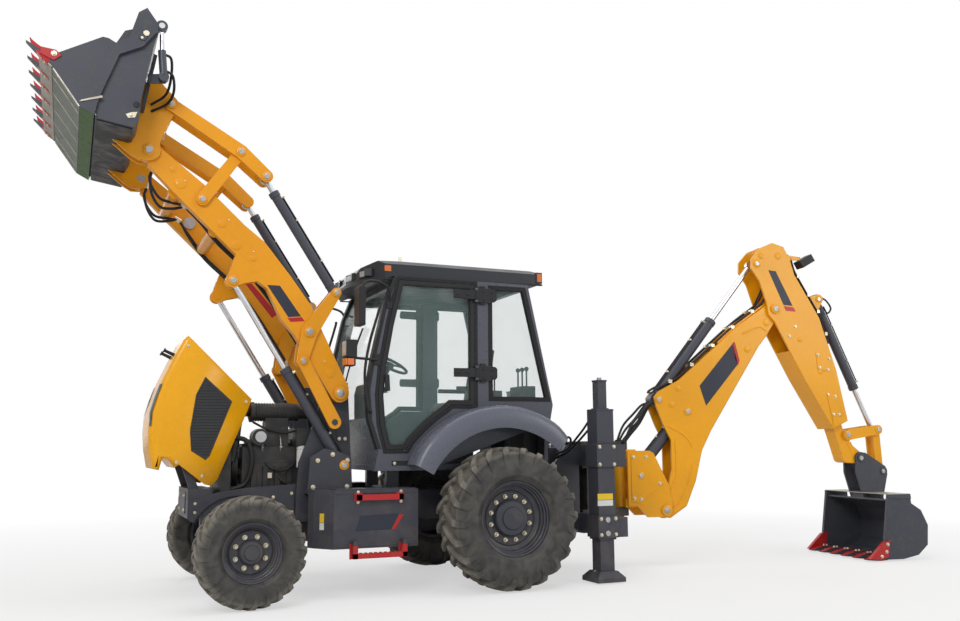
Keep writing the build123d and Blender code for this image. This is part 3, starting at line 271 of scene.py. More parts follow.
engine_black = greasy("oily black iron", rgb(0.02, 0.02, 0.022))
dress(engine_black, "engine")


# ------------------------------------------------------------------ cab
# Pressed steel sections, slate grey outside, with a moulded roof, black doors and a black console.
# The panes are green-tinted safety glass bonded into black rubber.
def moulding(name, tone, rough=0.5, grain=420.0, depth=0.0002, edge=0.003):
    """Moulded plastic or rubber with a fine leather grain."""
    coat = Coat(name)
    handled = coat.step(coat.noise(5.0, 5.0, 0.5), 0.35, 0.75)
    coat.finish(
        Base_Color=coat.blend(handled * 0.35, tone, rgb(*(0.5 * level + 0.012 for level in tone[:3]))),
        Roughness=rough + handled * 0.14,
        Normal=coat.bump(coat.noise(grain, 2.0), depth, edge),
        Specular_IOR_Level=0.3,
    )
    return coat


def tinted_glass(name, tone, density):
    coat = Coat(name)
    film = coat.step(coat.noise(2.2, 5.0, 0.7), 0.45, 0.75)
    coat.finish(
        Base_Color=coat.blend(film * 0.3, tone, rgb(0.55, 0.62, 0.58)),
        Roughness=0.03 + film * 0.05,
        Alpha=density + film * 0.02,
        Specular_IOR_Level=0.6,
    )
    return coat


cab_slate = enamel("cab slate enamel", rgb(0.085, 0.09, 0.115), 0.15, 0.26)
roof_slate = moulding("moulded roof grey", rgb(0.03, 0.032, 0.038), 0.36)
black_trim = moulding("black trim", rgb(0.018, 0.018, 0.02), 0.5)
tint = tinted_glass("green tinted glass", rgb(0.40, 0.60, 0.56), 0.10)
dress(cab_slate, "cab_frame")
dress(roof_slate, "cab_roof")
dress(black_trim, "door_left", "door_right", "console")
dress(tint, "cab_glass", "door_glass_left", "door_glass_right")


# ------------------------------------------------------------------ tyres and rims
# Industrial tyres with heavy slanted lugs: moulded rubber, worn grey-brown on the lug edges and dusty in
# the grooves. The rims are rolled and pressed steel, enamelled slate grey, bolted to the hubs.
MM = 0.001


def smooth_path(points, steps):
    """A smooth curve through points, for a hose."""
    rows = [Vector(p) for p in points]
    rows = [2 * rows[0] - rows[1], *rows, 2 * rows[-1] - rows[-2]]
    path = []
    for a, b, c, d in zip(rows, rows[1:], rows[2:], rows[3:]):
        for i in range(steps):
            t = i / steps
            path.append(
                0.5 * (
                    2 * b + (c - a) * t + (2 * a - 5 * b + 4 * c - d) * t * t + (3 * b - a - 3 * c + d) * t**3
                )
            )
    return [*path, rows[-2]]


def square_to(axis):
    """Two directions square to an axis and to each other."""
    helper = Vector((0, 0, 1)) if abs(axis.z) < 0.9 else Vector((1, 0, 0))
    side = axis.cross(helper).normalized()
    return side, axis.cross(side).normalized()


class Form:
    """Corners and faces gathered from simple shapes and made into one piece."""

    def __init__(self):
        self.corners = []
        self.faces = []
        self.tints = []
        self.tint = 0

    def add(self, corners, faces):
        start = len(self.corners)
        self.corners += [Vector(c) for c in corners]
        self.faces += [[start + i for i in face] for face in faces]
        self.tints += [self.tint] * len(faces)

    def loft(self, *loops, ring=False):
        """Loops of equal count joined in order, with both ends closed, or joined in a ring."""
        n = len(loops[0])
        faces = []
        last = len(loops) if ring else len(loops) - 1
        for k in range(last):
            a, b = k * n, (k + 1) % len(loops) * n
            faces += [[a + i, a + (i + 1) % n, b + (i + 1) % n, b + i] for i in range(n)]
        if not ring:
            faces += [list(range(n))[::-1], [(len(loops) - 1) * n + i for i in range(n)]]
        self.add([c for loop in loops for c in loop], faces)

    def plate(self, outline, y0, y1):
        """A plate in the XZ plane from y0 to y1."""
        self.loft([(x, y0, z) for x, z in outline], [(x, y1, z) for x, z in outline])

    def block(self, x0, x1, y0, y1, z0, z1):
        self.plate([(x0, z0), (x1, z0), (x1, z1), (x0, z1)], y0, y1)

    def lathe(self, profile, centre, axis, steps=32, ring=False):
        """A turned shape; the profile is (radius, distance along the axis)."""
        axis = Vector(axis).normalized()
        side, up = square_to(axis)
        centre = Vector(centre)
        loops = []
        for i in range(steps):
            turn = 2 * pi * i / steps
            out = side * cos(turn) + up * sin(turn)
            loops.append([centre + out * r + axis * d for r, d in profile])
        n = len(profile)
        faces = []
        for k in range(steps):
            a, b = k * n, (k + 1) % steps * n
            faces += [[a + i, b + i, b + (i + 1) % n, a + (i + 1) % n] for i in range(n if ring else n - 1)]
        if not ring:
            faces += [[k * n for k in range(steps)], [k * n + n - 1 for k in range(steps)][::-1]]
        self.add([c for loop in loops for c in loop], faces)

    def rod(self, start, end, r, r_end=None, steps=16):
        start, end = Vector(start), Vector(end)
        length = (end - start).length
        self.lathe([(r, 0), (r if r_end is None else r_end, length)], start, end - start, steps)

    def tube(self, points, r, sides=10, steps=8):
        """A round hose or pipe along a smooth curve."""
        path = smooth_path(points, steps) if steps else [Vector(p) for p in points]
        side, up = square_to((path[1] - path[0]).normalized())
        loops = []
        for i, p in enumerate(path):
            ahead = (path[min(i + 1, len(path) - 1)] - path[max(i - 1, 0)]).normalized()
            side = (side - ahead * side.dot(ahead)).normalized()
            up = ahead.cross(side)
            loops.append(
                [
                    p + (
                        side * cos(2 * pi * k / sides) + up * sin(2 * pi * k / sides)
                    ) * r for k in range(sides)
                ]
            )
        self.loft(*loops)

    def bolt(self, centre, axis, across, height, washer=True):
        """A hex head on a washer."""
        centre, axis = Vector(centre), Vector(axis).normalized()
        if washer:
            self.lathe([(across * 0.78, -1), (across * 0.78, height * 0.22)], centre, axis, 16)
            centre = centre + axis * height * 0.2
        r = across / 3**0.5
        self.lathe([(r, -1), (r, height * 0.85), (r * 0.84, height)], centre, axis, 6)

    def boss(self, centre, axis, r, height):
        """A pin's welded boss with its retaining plate."""
        self.lathe([(r, -2), (r, height * 0.7), (r * 0.9, height)], centre, axis, 28)

    def make(self, name, coats, body, bevel=0.0, sharp=34.0, segments=2, matrix=None):
        mesh = bpy.data.meshes.new(name)
        mesh.from_pydata([c * MM for c in self.corners], [], self.faces)
        for polygon, tint in zip(mesh.polygons, self.tints):
            polygon.material_index = tint
        shape = bmesh.new()
        shape.from_mesh(mesh)
        bmesh.ops.recalc_face_normals(shape, faces=shape.faces)
        shape.to_mesh(mesh)
        shape.free()
        if matrix is not None:
            mesh.transform(matrix)
        for coat in coats:
            mesh.materials.append(coat.material)
        made = bpy.data.objects.new(name, mesh)
        bpy.context.scene.collection.objects.link(made)
        mesh.shade_smooth()
        mesh.set_sharp_from_angle(angle=radians(sharp))
        if bevel:
            rounding = made.modifiers.new("rounding", "BEVEL")
            rounding.width = bevel * MM
            rounding.segments = segments
            rounding.limit_method = "ANGLE"
            rounding.angle_limit = radians(sharp)
            rounding.harden_normals = True
        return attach(made, body)


def wheel_rubber(name, hub_x, hub_z, radius):
    coat = Coat(name)
    across, up = coat.axis(0) - hub_x * MM, coat.axis(2) - hub_z * MM
    reach = (across * across + up * up).root()
    tread = coat.step(reach, (radius - 75) * MM, (radius - 4) * MM)
    patch = coat.step(coat.noise(9.0, 6.0, 0.6), 0.35, 0.72)
    fine = coat.step(coat.noise(120.0, 4.0), 0.35, 0.8)
    mud = tread * (0.42 + patch * 0.55) + (1.0 - tread) * patch * 0.22
    colour = coat.blend(mud, rgb(0.022, 0.0215, 0.021), rgb(0.29, 0.265, 0.22))
    coat.finish(
        Base_Color=colour,
        Roughness=0.56 + mud * 0.3 + fine * 0.06,
        Normal=coat.bump(coat.noise(150.0, 5.0) + coat.noise(30.0, 4.0), 0.0008, 0.0),
    )
    return coat


TRACK_Y = 1060.0
# columns: end, x, radius, half width, rim radius, lug height, lugs a side, lug width, nuts, nut circle
# radius, hub radius, how far out the disc stands
WHEELS = (
    ("front", 2379.0, 460.5, 175.0, 240.0, 22.0, 24, 52.0, 8, 134.0, 96.0, 20.0),
    ("rear", 0.0, 657.0, 240.0, 335.0, 40.0, 22, 74.0, 12, 204.0, 160.0, 40.0),
)


def tyre(name, x, radius, half, rim_r, lug, count, lug_w, side, coat, body):
    """The carcass is turned; each lug is a bent bar from the tread's middle down on to the sidewall."""
    form = Form()
    base = radius - lug
    bead = rim_r + 6
    wall = radius - rim_r
    # one side's section, from the bead to the crown: radius, share of the half width
    section = (
        (bead, 0.70), (rim_r + 14, 0.80), (rim_r + wall * 0.16, 0.93), (rim_r + wall * 0.20, 0.97),
        (rim_r + wall * 0.42, 0.985), (rim_r + wall * 0.62, 0.97), (base - wall * 0.10, 0.93),
        (base - wall * 0.035, 0.85), (base - 4, 0.66), (base, 0.3),
    )
    profile = [(r, -half * share) for r, share in section] + [(r, half * share) for r, share in section[::-1]]
    centre = Vector((x, side * TRACK_Y, radius))
    form.lathe(profile, centre, (0, 1, 0), 96, ring=True)
    # stations along a lug: base (radius, offset), top (radius, offset), turn in lug widths, width factor
    stations = (
        ((base - 12, -6), (radius, -6), -0.30, 0.80),
        ((base - 12, half * 0.30), (radius, half * 0.30), 0.35, 0.90),
        ((base - 14, half * 0.60), (radius - lug * 0.10, half * 0.63), 1.05, 1.0),
        ((base - 16, half * 0.80), (radius - lug * 0.38, half * 0.86), 1.50, 1.05),
        ((base - wall * 0.13, half * 0.90), (base - wall * 0.06, half * 0.995), 1.72, 1.0),
        ((base - wall * 0.30, half * 0.93), (base - wall * 0.27, half * 1.0), 1.92, 0.86),
        ((base - wall * 0.40, half * 0.94), (base - wall * 0.40, half * 0.985), 2.02, 0.74),
    )
    pitch = 2 * pi / count
    for hand in (1, -1):
        for i in range(count):
            start = (i + (0.5 if hand > 0 else 0.0)) * pitch
            loops = []
            for (rb, yb), (rt, yt), turn, wide in stations:
                middle = start + turn * lug_w / radius
                foot, crown = 0.5 * wide * lug_w / radius, 0.38 * wide * lug_w / radius
                loop = []
                for r, y, a in (
                    (rb, yb, middle - foot), (rt, yt, middle - crown), (rt, yt, middle + crown),
                    (rb, yb, middle + foot),
                ):
                    loop.append(centre + Vector((-r * cos(a), hand * y, r * sin(a))))
                loops.append(loop)
            form.loft(*loops)
    return form.make(name, [coat], body, bevel=4.0 if lug > 30 else 3.0, sharp=30)


def rim(name, x, radius, half, rim_r, nuts, nut_r, hub_r, dish, side, body):
    """Rolled barrel with its steps, pressed disc, hub and wheel nuts."""
    form = Form()
    lip = half * 0.73
    centre = (x, side * TRACK_Y, radius)
    profile = [
        (rim_r + 11, lip + 4), (rim_r + 5, lip + 8), (rim_r - 8, lip + 4), (rim_r - 10, lip - 22),
        (rim_r - 22, lip - 30), (rim_r - 24, lip - 58), (rim_r - 36, lip - 64), (rim_r - 40, dish + 34),
        (rim_r - 52, dish + 24), (nut_r + 52, dish + 16), (nut_r + 40, dish + 24), (nut_r - 30, dish + 24),
        (hub_r + 6, dish + 22), (hub_r + 4, dish + 62), (hub_r - 8, dish + 74), (hub_r * 0.66, dish + 78),
        (hub_r * 0.62, dish + 92), (hub_r * 0.18, dish + 94), (0.5, dish + 94), (0.5, dish - 14),
        (rim_r - 40, dish - 14), (rim_r - 24, -lip), (rim_r - 6, -lip - 4), (rim_r + 11, -lip - 2),
        (rim_r + 4, -lip + 10), (rim_r - 6, -lip + 40), (rim_r - 6, lip - 20), (rim_r + 4, lip - 8),
    ]
    form.lathe([(r, side * y) for r, y in profile], centre, (0, 1, 0), 72, ring=True)
    for i in range(nuts):
        turn = 2 * pi * (i + 0.5) / nuts
        place = (x + nut_r * cos(turn), side * (TRACK_Y + dish + 23), radius + nut_r * sin(turn))
        form.tint = 1
        form.bolt(place, (0, side, 0), 27, 26)
    return form.make(name, [low_slate, zinc], body, sharp=28)


for end, x, radius, half, rim_r, lug, count, lug_w, nuts, nut_r, hub_r, dish in WHEELS:
    worn_rubber = wheel_rubber(f"{end} tyre rubber", x, radius, radius)
    for hand, side in (("left", 1), ("right", -1)):
        body = f"wheel_{end}_{hand}"
        made = tyre(f"{end}_{hand}_tyre", x, radius, half, rim_r, lug, count, lug_w, side, worn_rubber, body)
        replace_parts(made, f"tyre_{end}_{hand}")
        made = rim(f"{end}_{hand}_rim", x, radius, half, rim_r, nuts, nut_r, hub_r, dish, side, body)
        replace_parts(made, f"rim_{end}_{hand}")


# ------------------------------------------------------------------ bonnet
# One bonnet moulded in yellow plastic composite, hinged at the nose and tipped forward. It has soft
# corners, a black louvred vent in each side, two dark lamp slits down its nose and black rubber buffers.
bonnet_yellow = enamel("bonnet yellow", rgb(0.97, 0.45, 0.006), 0.08, 0.22)
BONNET_HALF, BONNET_SOFT = 386.0, 46.0
BONNET_NOSE = (
    (2938, 1147), (3000, 1222), (3040, 1236), (3068, 1128), (3126, 1142), (3158, 1306), (3172, 1463),
    (3162, 1638), (3090, 1877), (2976, 2140), (2900, 2300), (2863, 2336),
)
BONNET_MOUTH = ((2280, 1765), (2320, 1645), (2566, 1040), (2617, 984), (2676, 998))


def inward(points, by):
    """Points moved square to their line, to its left."""
    moved = []
    for i, (x, z) in enumerate(points):
        (ax, az), (bx, bz) = points[max(i - 1, 0)], points[min(i + 1, len(points) - 1)]
        length = hypot(bx - ax, bz - az)
        moved.append((x - (bz - az) / length * by, z + (bx - ax) / length * by))
    return moved


def bonnet_shell():
    form = Form()
    turns = [radians(a) for a in (0, 18, 36, 54, 72, 90)]
    rows = [
        (
            BONNET_HALF - BONNET_SOFT * (1 - cos(a)), inward(BONNET_NOSE, BONNET_SOFT * (1 - sin(a)))
        ) for a in turns
    ]
    rows += [(-y, line) for y, line in reversed(rows)]
    n = len(BONNET_NOSE)
    corners = [(x, y, z) for y, line in rows for x, z in line]
    faces = [
        [
            k * n + i, k * n + i + 1, (k + 1) * n + i + 1, (k + 1) * n + i
        ] for k in range(len(rows) - 1) for i in range(n - 1)
    ]
    last = (len(rows) - 1) * n
    for start, y in ((0, BONNET_HALF), (last, -BONNET_HALF)):
        mouth = len(corners)
        corners += [(x, y, z) for x, z in BONNET_MOUTH]
        faces.append([start + i for i in range(n)] + [mouth + i for i in range(len(BONNET_MOUTH))])
    form.add(corners, faces)
    shell = form.make("bonnet_shell", [bonnet_yellow], "bonnet", sharp=40)
    wall = shell.modifiers.new("wall", "SOLIDIFY")
    wall.thickness = 11 * MM
    wall.offset = -1
    return shell


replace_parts(bonnet_shell(), "hood")
mesh_black = moulding("black vent mesh", rgb(0.035, 0.036, 0.038), 0.55, 240.0, 0.0008)
VENT = ((2700, 1948), (2463, 1735), (2642, 1258), (2675, 1223), (2799, 1304), (2814, 1481), (2773, 1793))


def vent_at(depth, z):
    """Where a level line crosses the vent, drawn in by depth."""
    crossings = []
    ring = list(zip(VENT, (*VENT[1:], VENT[0])))
    for (ax, az), (bx, bz) in ring:
        if (az - z) * (bz - z) < 0:
            crossings.append(ax + (bx - ax) * (z - az) / (bz - az))
    return min(crossings) + depth, max(crossings) - depth


def bonnet_vents():
    form = Form()
    middle = Vector((sum(x for x, z in VENT) / len(VENT), 0, sum(z for x, z in VENT) / len(VENT)))
    for side in (1, -1):
        face = side * BONNET_HALF
        rings = []
        for grow, out in ((1.035, 0), (1.03, 5), (0.965, 5), (0.955, 1)):
            rings.append(
                [
                    middle + (Vector((x, 0, z)) - middle) * grow + Vector((0, face + side * out, 0)) for x,
                    z in VENT
                ]
            )
        form.loft(*rings)
        for z in range(1262, 1925, 26):
            x0, x1 = vent_at(12, z)
            if x1 - x0 > 40:
                form.loft(
                    [
                        (x0, face + side * 1, z - 3), (x0, face + side * 6, z + 4),
                        (x0, face + side * 1, z + 10),
                    ],
                    [
                        (x1, face + side * 1, z - 3), (x1, face + side * 6, z + 4),
                        (x1, face + side * 1, z + 10),
                    ],
                )
    return form.make("bonnet_vents", [mesh_black], "bonnet", bevel=1.0)


bonnet_vents()
lamp_dark = tinted_glass("dark lamp glass", rgb(0.02, 0.02, 0.024), 0.95)


def nose_lamps():
    """Two slits of dark glass that wrap the bonnet's front corners, and the buffers on its top."""
    form = Form()
    line = [(3162, 1515), (3158, 1640), (3128, 1760), (3084, 1890)]
    out = inward(line, -5)
    for side in (1, -1):
        loops = []
        for (x, z), (ox, oz) in zip(line, out):
            y0, y1 = side * (BONNET_HALF - 30), side * (BONNET_HALF - 150)
            loops.append(
                [
                    (x - 12, side * (BONNET_HALF + 1), z), (ox - 6, side * (BONNET_HALF - 12), oz),
                    (ox, y0, oz), (ox, y1, oz), (x - 8, y1, z), (x - 14, y0, z),
                ]
            )
        form.loft(*loops)
    form.make("bonnet_lamps", [lamp_dark], "bonnet", bevel=2.0)
    buffers = Form()
    for y in (150, -150):
        buffers.rod((2950, y, 2170), (3040, y, 2212), 17, 14)
        buffers.rod((3040, y, 2212), (3052, y, 2218), 22, 22)
    buffers.make("bonnet_buffers", [black_trim], "bonnet", bevel=2.0)
    fixings = Form()
    for (x, z) in ((2700, 1072), (2925, 1195), (2330, 1740), (2860, 2240)):
        for side in (1, -1):
            fixings.bolt((x, side * BONNET_HALF, z), (0, side, 0), 19, 9)
    fixings.make("bonnet_bolts", [zinc], "bonnet")


nose_lamps()


# ------------------------------------------------------------------ loader pins, panels and pipes
# Each pin has a turned cap held by a bolt. A blank dark panel with a red end is stuck to each arm, and
# black hoses with crimped ends loop at the arms' heads and run back along their inner faces.
dark_vinyl = moulding("dark vinyl", rgb(0.03, 0.034, 0.052), 0.34, 700.0, 0.00005)
safety_red = enamel("red enamel", rgb(0.50, 0.018, 0.022), 0.12, 0.3)
hose_black = moulding("hose rubber", rgb(0.013, 0.013, 0.014), 0.45, 600.0, 0.00015)


def both(point):
    """A place on the left and its mirror on the right."""
    x, y, z = point
    return ((x, y, z), 1), ((x, -y, z), -1)


# columns: body, x, z, outer face y, radius
PIN_CAPS = (
    ("head_pins", 3284.0, 3977.0, 575.0, 56.0),
    ("link_pins", 3112.0, 4415.0, 611.0, 42.0),
    ("tilt_links", 2477.0, 4048.0, 603.0, 46.0),
    ("tilt_links", 2235.0, 3839.0, 603.0, 46.0),
    ("guide_pins", 2804.0, 3568.0, 578.0, 42.0),
    ("level_levers", 1796.0, 2392.0, 581.0, 52.0),
    ("level_levers", 1857.0, 2117.0, 609.0, 40.0),
    ("ram_pins", 1543.0, 2778.0, 580.0, 42.0),
    ("chassis", 1488.0, 1826.0, 563.0, 62.0),
    ("chassis", 1450.0, 1155.0, 592.0, 46.0),
    ("loader_arms", 2504.0, 2841.0, 548.0, 48.0),
)


def pin_caps(name, place, r, keeper, coats, body, matrix=None):
    """A welded boss, a turned keeper and its bolt on both ends of a pin."""
    caps = Form()
    for (x, y, z), side in both(place):
        out = (0, side, 0)
        caps.tint = 0
        caps.boss((x, y, z), out, r, 9)
        caps.tint = 1
        caps.boss((x, y + side * 6, z), out, r * keeper, 8)
        caps.tint = 2
        caps.bolt((x + r * 0.3, y + side * 13, z + r * 0.2), out, 15, 8)
    caps.make(name, coats, body, bevel=1.2, matrix=matrix)


for body, x, z, y, r in PIN_CAPS:
    pin_caps(f"cap_{x:.0f}_{z:.0f}", (x, y, z), r, 0.62, [yellow, pin_steel, zinc], body)

ARM_PANEL = ((2196, 2816), (2077, 2817), (1873, 2537), (1993, 2524))
ARM_PANEL_END = ((2002, 2515), (1866, 2531), (1837, 2493), (1969, 2480))
ARM_STRIPE = ((2236, 2994), (2168, 2998), (1892, 2692), (1948, 2646))
# columns: x, z and radius of the round welded bosses on the arms' sides
ARM_BOSSES = (
    (2489, 3170, 46), (2621, 3363, 40), (2999, 3704, 52), (3070, 3828, 30), (1585, 2010, 44), (2326, 3060, 30)
)
ARM_FACE = 544.0
# columns: y, how far the loop hangs, how far it is drawn back, how low the long hose lies
ARM_HOSES = ((300, 0, 0, 0), (255, 45, 10, 30), (-300, 10, 0, 0), (-250, 50, 0, 30))
ARM_WALL = 414


def arm_fittings():
    form = Form()
    for side in (1, -1):
        form.tint = 1
        form.plate(ARM_PANEL, side * ARM_FACE, side * (ARM_FACE + 2.4))
        form.tint = 2
        form.plate(ARM_PANEL_END, side * ARM_FACE, side * (ARM_FACE + 2.4))
        form.plate(ARM_STRIPE, side * 456, side * 453.6)
        form.tint = 0
        for x, z, r in ARM_BOSSES:
            form.boss((x, side * (ARM_FACE + 1), z), (0, side, 0), r, 4.5)
        form.tint = 3
        for x, z in ((2960, 3730), (3030, 3700), (2330, 3120), (1640, 2120), (2560, 3400)):
            form.bolt((x, side * (ARM_FACE + 1), z), (0, side, 0), 14, 5, washer=False)
    form.make("arm_fittings", [yellow, dark_vinyl, safety_red, zinc], "loader_arms", bevel=0.8)
    hoses = Form()
    for y, drop, back, low in ARM_HOSES:
        wall = ARM_WALL if y > 0 else -ARM_WALL
        hoses.tint = 0
        hoses.tube(
            [
                (2930, y, 3560), (3040, y, 3575 - drop), (3150, y * 1.05, 3600 - drop * 1.4),
                (3225, y * 1.1, 3690 - drop), (3255 - back, y * 1.12, 3780), (3235, y * 1.12, 3850),
            ],
            13,
        )
        hoses.tube(
            [
                (2930, y, 3560), (2800, wall * 0.93, 3420 - low), (2640, wall, 3225 - low),
                (2400, wall, 3010 - low), (2180, wall, 2760 - low), (1960, wall, 2440 - low),
                (1800, wall, 2190 - low),
            ],
            11,
        )
        hoses.tint = 1
        for end, tip in (
            ((3237, y * 1.12, 3840), (3229, y * 1.12, 3895)), ((2905, y, 3538), (2965, y, 3572))
        ):
            hoses.rod(end, tip, 16, 16, 12)
        hoses.rod((1800, wall * 0.97, 2190 - low), (1800, wall * 1.1, 2190 - low), 17, 17, 12)
    hoses.make("arm_hoses", [hose_black, zinc], "loader_arms")


arm_fittings()


def cylinder_trim(form, base, eye, y, r, length, gland_r, lines):
    """The gland, the two port blocks and the steel pipes of one cylinder's tube."""
    a, b = Vector((base[0], y, base[1])), Vector((eye[0], y, eye[1]))
    down = (b - a).normalized()
    up = Vector((0, 1, 0)).cross(down)
    if up.z < 0:
        up = -up
    form.tint = 0
    form.lathe(
        [(r + 6, 0), (r + 6, 46), (r + 1, 52), (gland_r, 52), (gland_r, -4), (r - 4, -4)],
        a + down * (length - 50), down, 28, ring=True,
    )
    form.lathe([(r - 2, 0), (r + 4, 3), (r + 4, 13), (r - 2, 16)], a + down * (r + 40), down, 24)
    for k, lift in lines:
        off = up * (r + 9) * lift + Vector((0, k, 0))
        form.tint = 1
        form.rod(a + off + down * (r + 60), a + off + down * (length - 80), 8, 8, 10)
        form.tint = 2
        for d in (0.3, 0.7):
            form.lathe([(13, -9), (13, 9)], a + off + down * (length * d), down, 12)
        form.lathe([(15, -16), (15, 16)], a + off * 0.98 + down * (length - 78), up, 6)


# columns: body, base pin, rod eye, tube radius, tube length, rod radius
LOADER_CYLINDERS = (
    ("lift_tubes", (1450.0, 1155.0), (2504.0, 2841.0), 48.0, 1055.0, 27.0),
    ("tilt_tubes", (1543.0, 2778.0), (2235.0, 3839.0), 45.0, 1120.0, 28.0),
)
for body, base, eye, r, length, rod_r in LOADER_CYLINDERS:
    trim = Form()
    for side in (1, -1):
        cylinder_trim(trim, base, eye, side * 500.0, r, length, rod_r, ((10, 1.0), (-12, 1.0)))
    trim.make(f"{body}_trim", [slate, hose_black, zinc], body)


# ------------------------------------------------------------------ loader bucket
# Seven red cast teeth are bolted to the lip. Bare rubbed steel shows along the cutting edges, the floor
# is ribbed and green under its worn enamel, and two cylinders at the back open the jaw.
worn_edge = metal("rubbed steel edge", rgb(0.46, 0.43, 0.37), 0.42, 0.25)
floor_green = bucket_coat("green underside", 0.35, rgb(0.050, 0.115, 0.020), rgb(0.085, 0.13, 0.05))
floor_grey = bucket_coat("worn floor", 0.9, rgb(0.075, 0.092, 0.055), rgb(0.13, 0.135, 0.105))
JAW_HALF = 1039.0
JAW_LIP, JAW_HEEL = Vector((4195, 0, 4540)), Vector((4098, 0, 4450))
JAW_KNEE, JAW_END = Vector((3869, 0, 4132)), Vector((3758, 0, 4075))


def jaw_strip(form, start, end, from_start, from_end, thick, y0, y1):
    """A plate on the outside of the jaw's floor, between two of its corners."""
    line = (end - start).normalized()
    out = Vector((0, 1, 0)).cross(line) * thick
    if out.x < 0:
        out = -out
    a, b = start + line * from_start, end - line * from_end
    inner = out * (-2.0 / thick)
    ring = (a + inner, b + inner, b + out, a + out)
    form.loft(*[[p + Vector((0, y, 0)) for p in ring] for y in (y0, y1)])


# stations of a tooth: distance from the lip, offset to the outside, height, half width factor
JAW_TOOTH = (
    (-95, 10, 40, 1.0), (-30, 12, 66, 1.0), (25, 6, 62, 0.95), (75, -6, 42, 0.72), (120, -22, 24, 0.45),
    (156, -44, 6, 0.16),
)


def jaw_fittings():
    form = Form()
    form.tint = 1
    jaw_strip(form, JAW_END, JAW_KNEE, 0, 2, 4, -JAW_HALF + 2, JAW_HALF - 2)
    form.tint = 2
    jaw_strip(form, JAW_KNEE, JAW_HEEL, 2, 0, 3, -JAW_HALF + 2, JAW_HALF - 2)
    form.tint = 3
    jaw_strip(form, JAW_HEEL, JAW_LIP, 0, -6, 7, -JAW_HALF + 2, JAW_HALF - 2)
    for k in range(-2, 3):
        jaw_strip(form, JAW_KNEE, JAW_HEEL, 10, 12, 6, k * 415 - 14, k * 415 + 14)
    for side in (1, -1):
        y0, y1 = side * (JAW_HALF - 26), side * (JAW_HALF + 3)
        jaw_strip(form, JAW_KNEE, JAW_HEEL, 6, 20, 8, y0, y1)
        form.plate([(3880, 4172), (3862, 4192), (3705, 4252), (3697, 4234)], y1 - side * 4, y1 + side * 5)
    form.tint = 0
    line = (JAW_LIP - JAW_HEEL).normalized()
    out = Vector((line.z, 0, -line.x))
    pitch = 2 * (JAW_HALF - 35) / 6
    for i in range(7):
        y = -JAW_HALF + 35 + i * pitch
        wide = 40 if i in (0, 6) else 34
        loops = []
        for d, lift, high, narrow in JAW_TOOTH:
            c = JAW_LIP + line * d + out * lift
            w = wide * narrow
            top = c - out * high
            corners = ((c, -w), (c, w), (top, w * 0.8), (top, -w * 0.8))
            loops.append([place + Vector((0, y + across, 0)) for place, across in corners])
        form.loft(*loops)
        if i in (0, 6):
            side = 1 if i else -1
            form.plate(
                [(4190, 4600), (4075, 4590), (4030, 4548), (4088, 4498), (4190, 4540)], side * (JAW_HALF - 4),
                side * (JAW_HALF + 11),
            )
    form.tint = 4
    for i in range(7):
        y = -JAW_HALF + 35 + i * pitch
        for d in (-66, -26):
            place = JAW_LIP + line * d + out * 11
            form.bolt(place + Vector((0, y, 0)), out, 22, 9)
    for side in (1, -1):
        form.bolt((4088, side * (JAW_HALF + 11), 4556), (0, side, 0), 30, 12)
        for x, z, r in ((3378, 4861, 26), (3412, 4815, 13)):
            form.boss((x, side * JAW_HALF, z), (0, side, 0), r, 10)
    form.make(
        "jaw_fittings", [safety_red, floor_green, floor_grey, worn_edge, zinc], "bucket_jaw", bevel=2.0,
        sharp=28,
    )


jaw_fittings()
CLAM_Y = 905.0


def blade_fittings():
    form = Form()
    form.tint = 1
    form.plate([(3452, 4012), (3742, 4058), (3740, 4068), (3450, 4022)], -970, 970)
    form.tint = 0
    for y in (-760, -600, -240, 0, 240, 600, 760):
        form.plate(
            [(3262, 4790), (3296, 4600), (3345, 4300), (3372, 4300), (3330, 4600), (3292, 4800)], y - 9, y + 9
        )
    for side in (1, -1):
        face = side * (JAW_HALF - 34)
        form.tint = 2
        form.boss((3428, face, 4224), (0, side, 0), 30, 3)
        form.tint = 3
        form.plate(
            [(3418, 4160), (3436, 4108), (3490, 4098), (3512, 4128), (3470, 4150)], face - side * 2,
            face + side * 6,
        )
        form.bolt((3470, face + side * 5, 4124), (0, side, 0), 24, 8)
    form.make("blade_fittings", [worn_slate, engine_black, black_trim, zinc], "loader_bucket", bevel=1.5)
    rams = Form()
    for side in (1, -1):
        y = side * CLAM_Y
        rams.tint = 0
        rams.rod((3214, y, 4560), (3236, y, 4780), 34, 34, 24)
        rams.lathe([(44, -30), (44, 30)], (3212, y, 4540), (0, 1, 0), 24)
        rams.plate([(3190, 4500), (3330, 4480), (3345, 4560), (3200, 4590)], y - side * 44, y - side * 32)
        rams.lathe([(50, -30), (50, 30)], (3246, y, 5000), (0, 1, 0), 28)
        rams.tint = 1
        rams.rod((3234, y, 4770), (3245, y, 4990), 19, 19, 20)
        rams.lathe([(26, -36), (26, 36)], (3246, y, 5000), (0, 1, 0), 20)
        rams.tint = 2
        rams.tube(
            [
                (3195, y - side * 45, 4620), (3130, y - side * 70, 4590), (3110, y - side * 150, 4480),
                (3150, y - side * 260, 4400), (3280, y - side * 330, 4330),
            ],
            12,
        )
        rams.tube(
            [
                (3205, y - side * 45, 4770), (3150, y - side * 60, 4740), (3140, y - side * 120, 4600),
                (3170, y - side * 230, 4470), (3290, y - side * 300, 4380),
            ],
            12,
        )
    rams.make("clam_rams", [slate, chrome, hose_black], "loader_bucket")


blade_fittings()


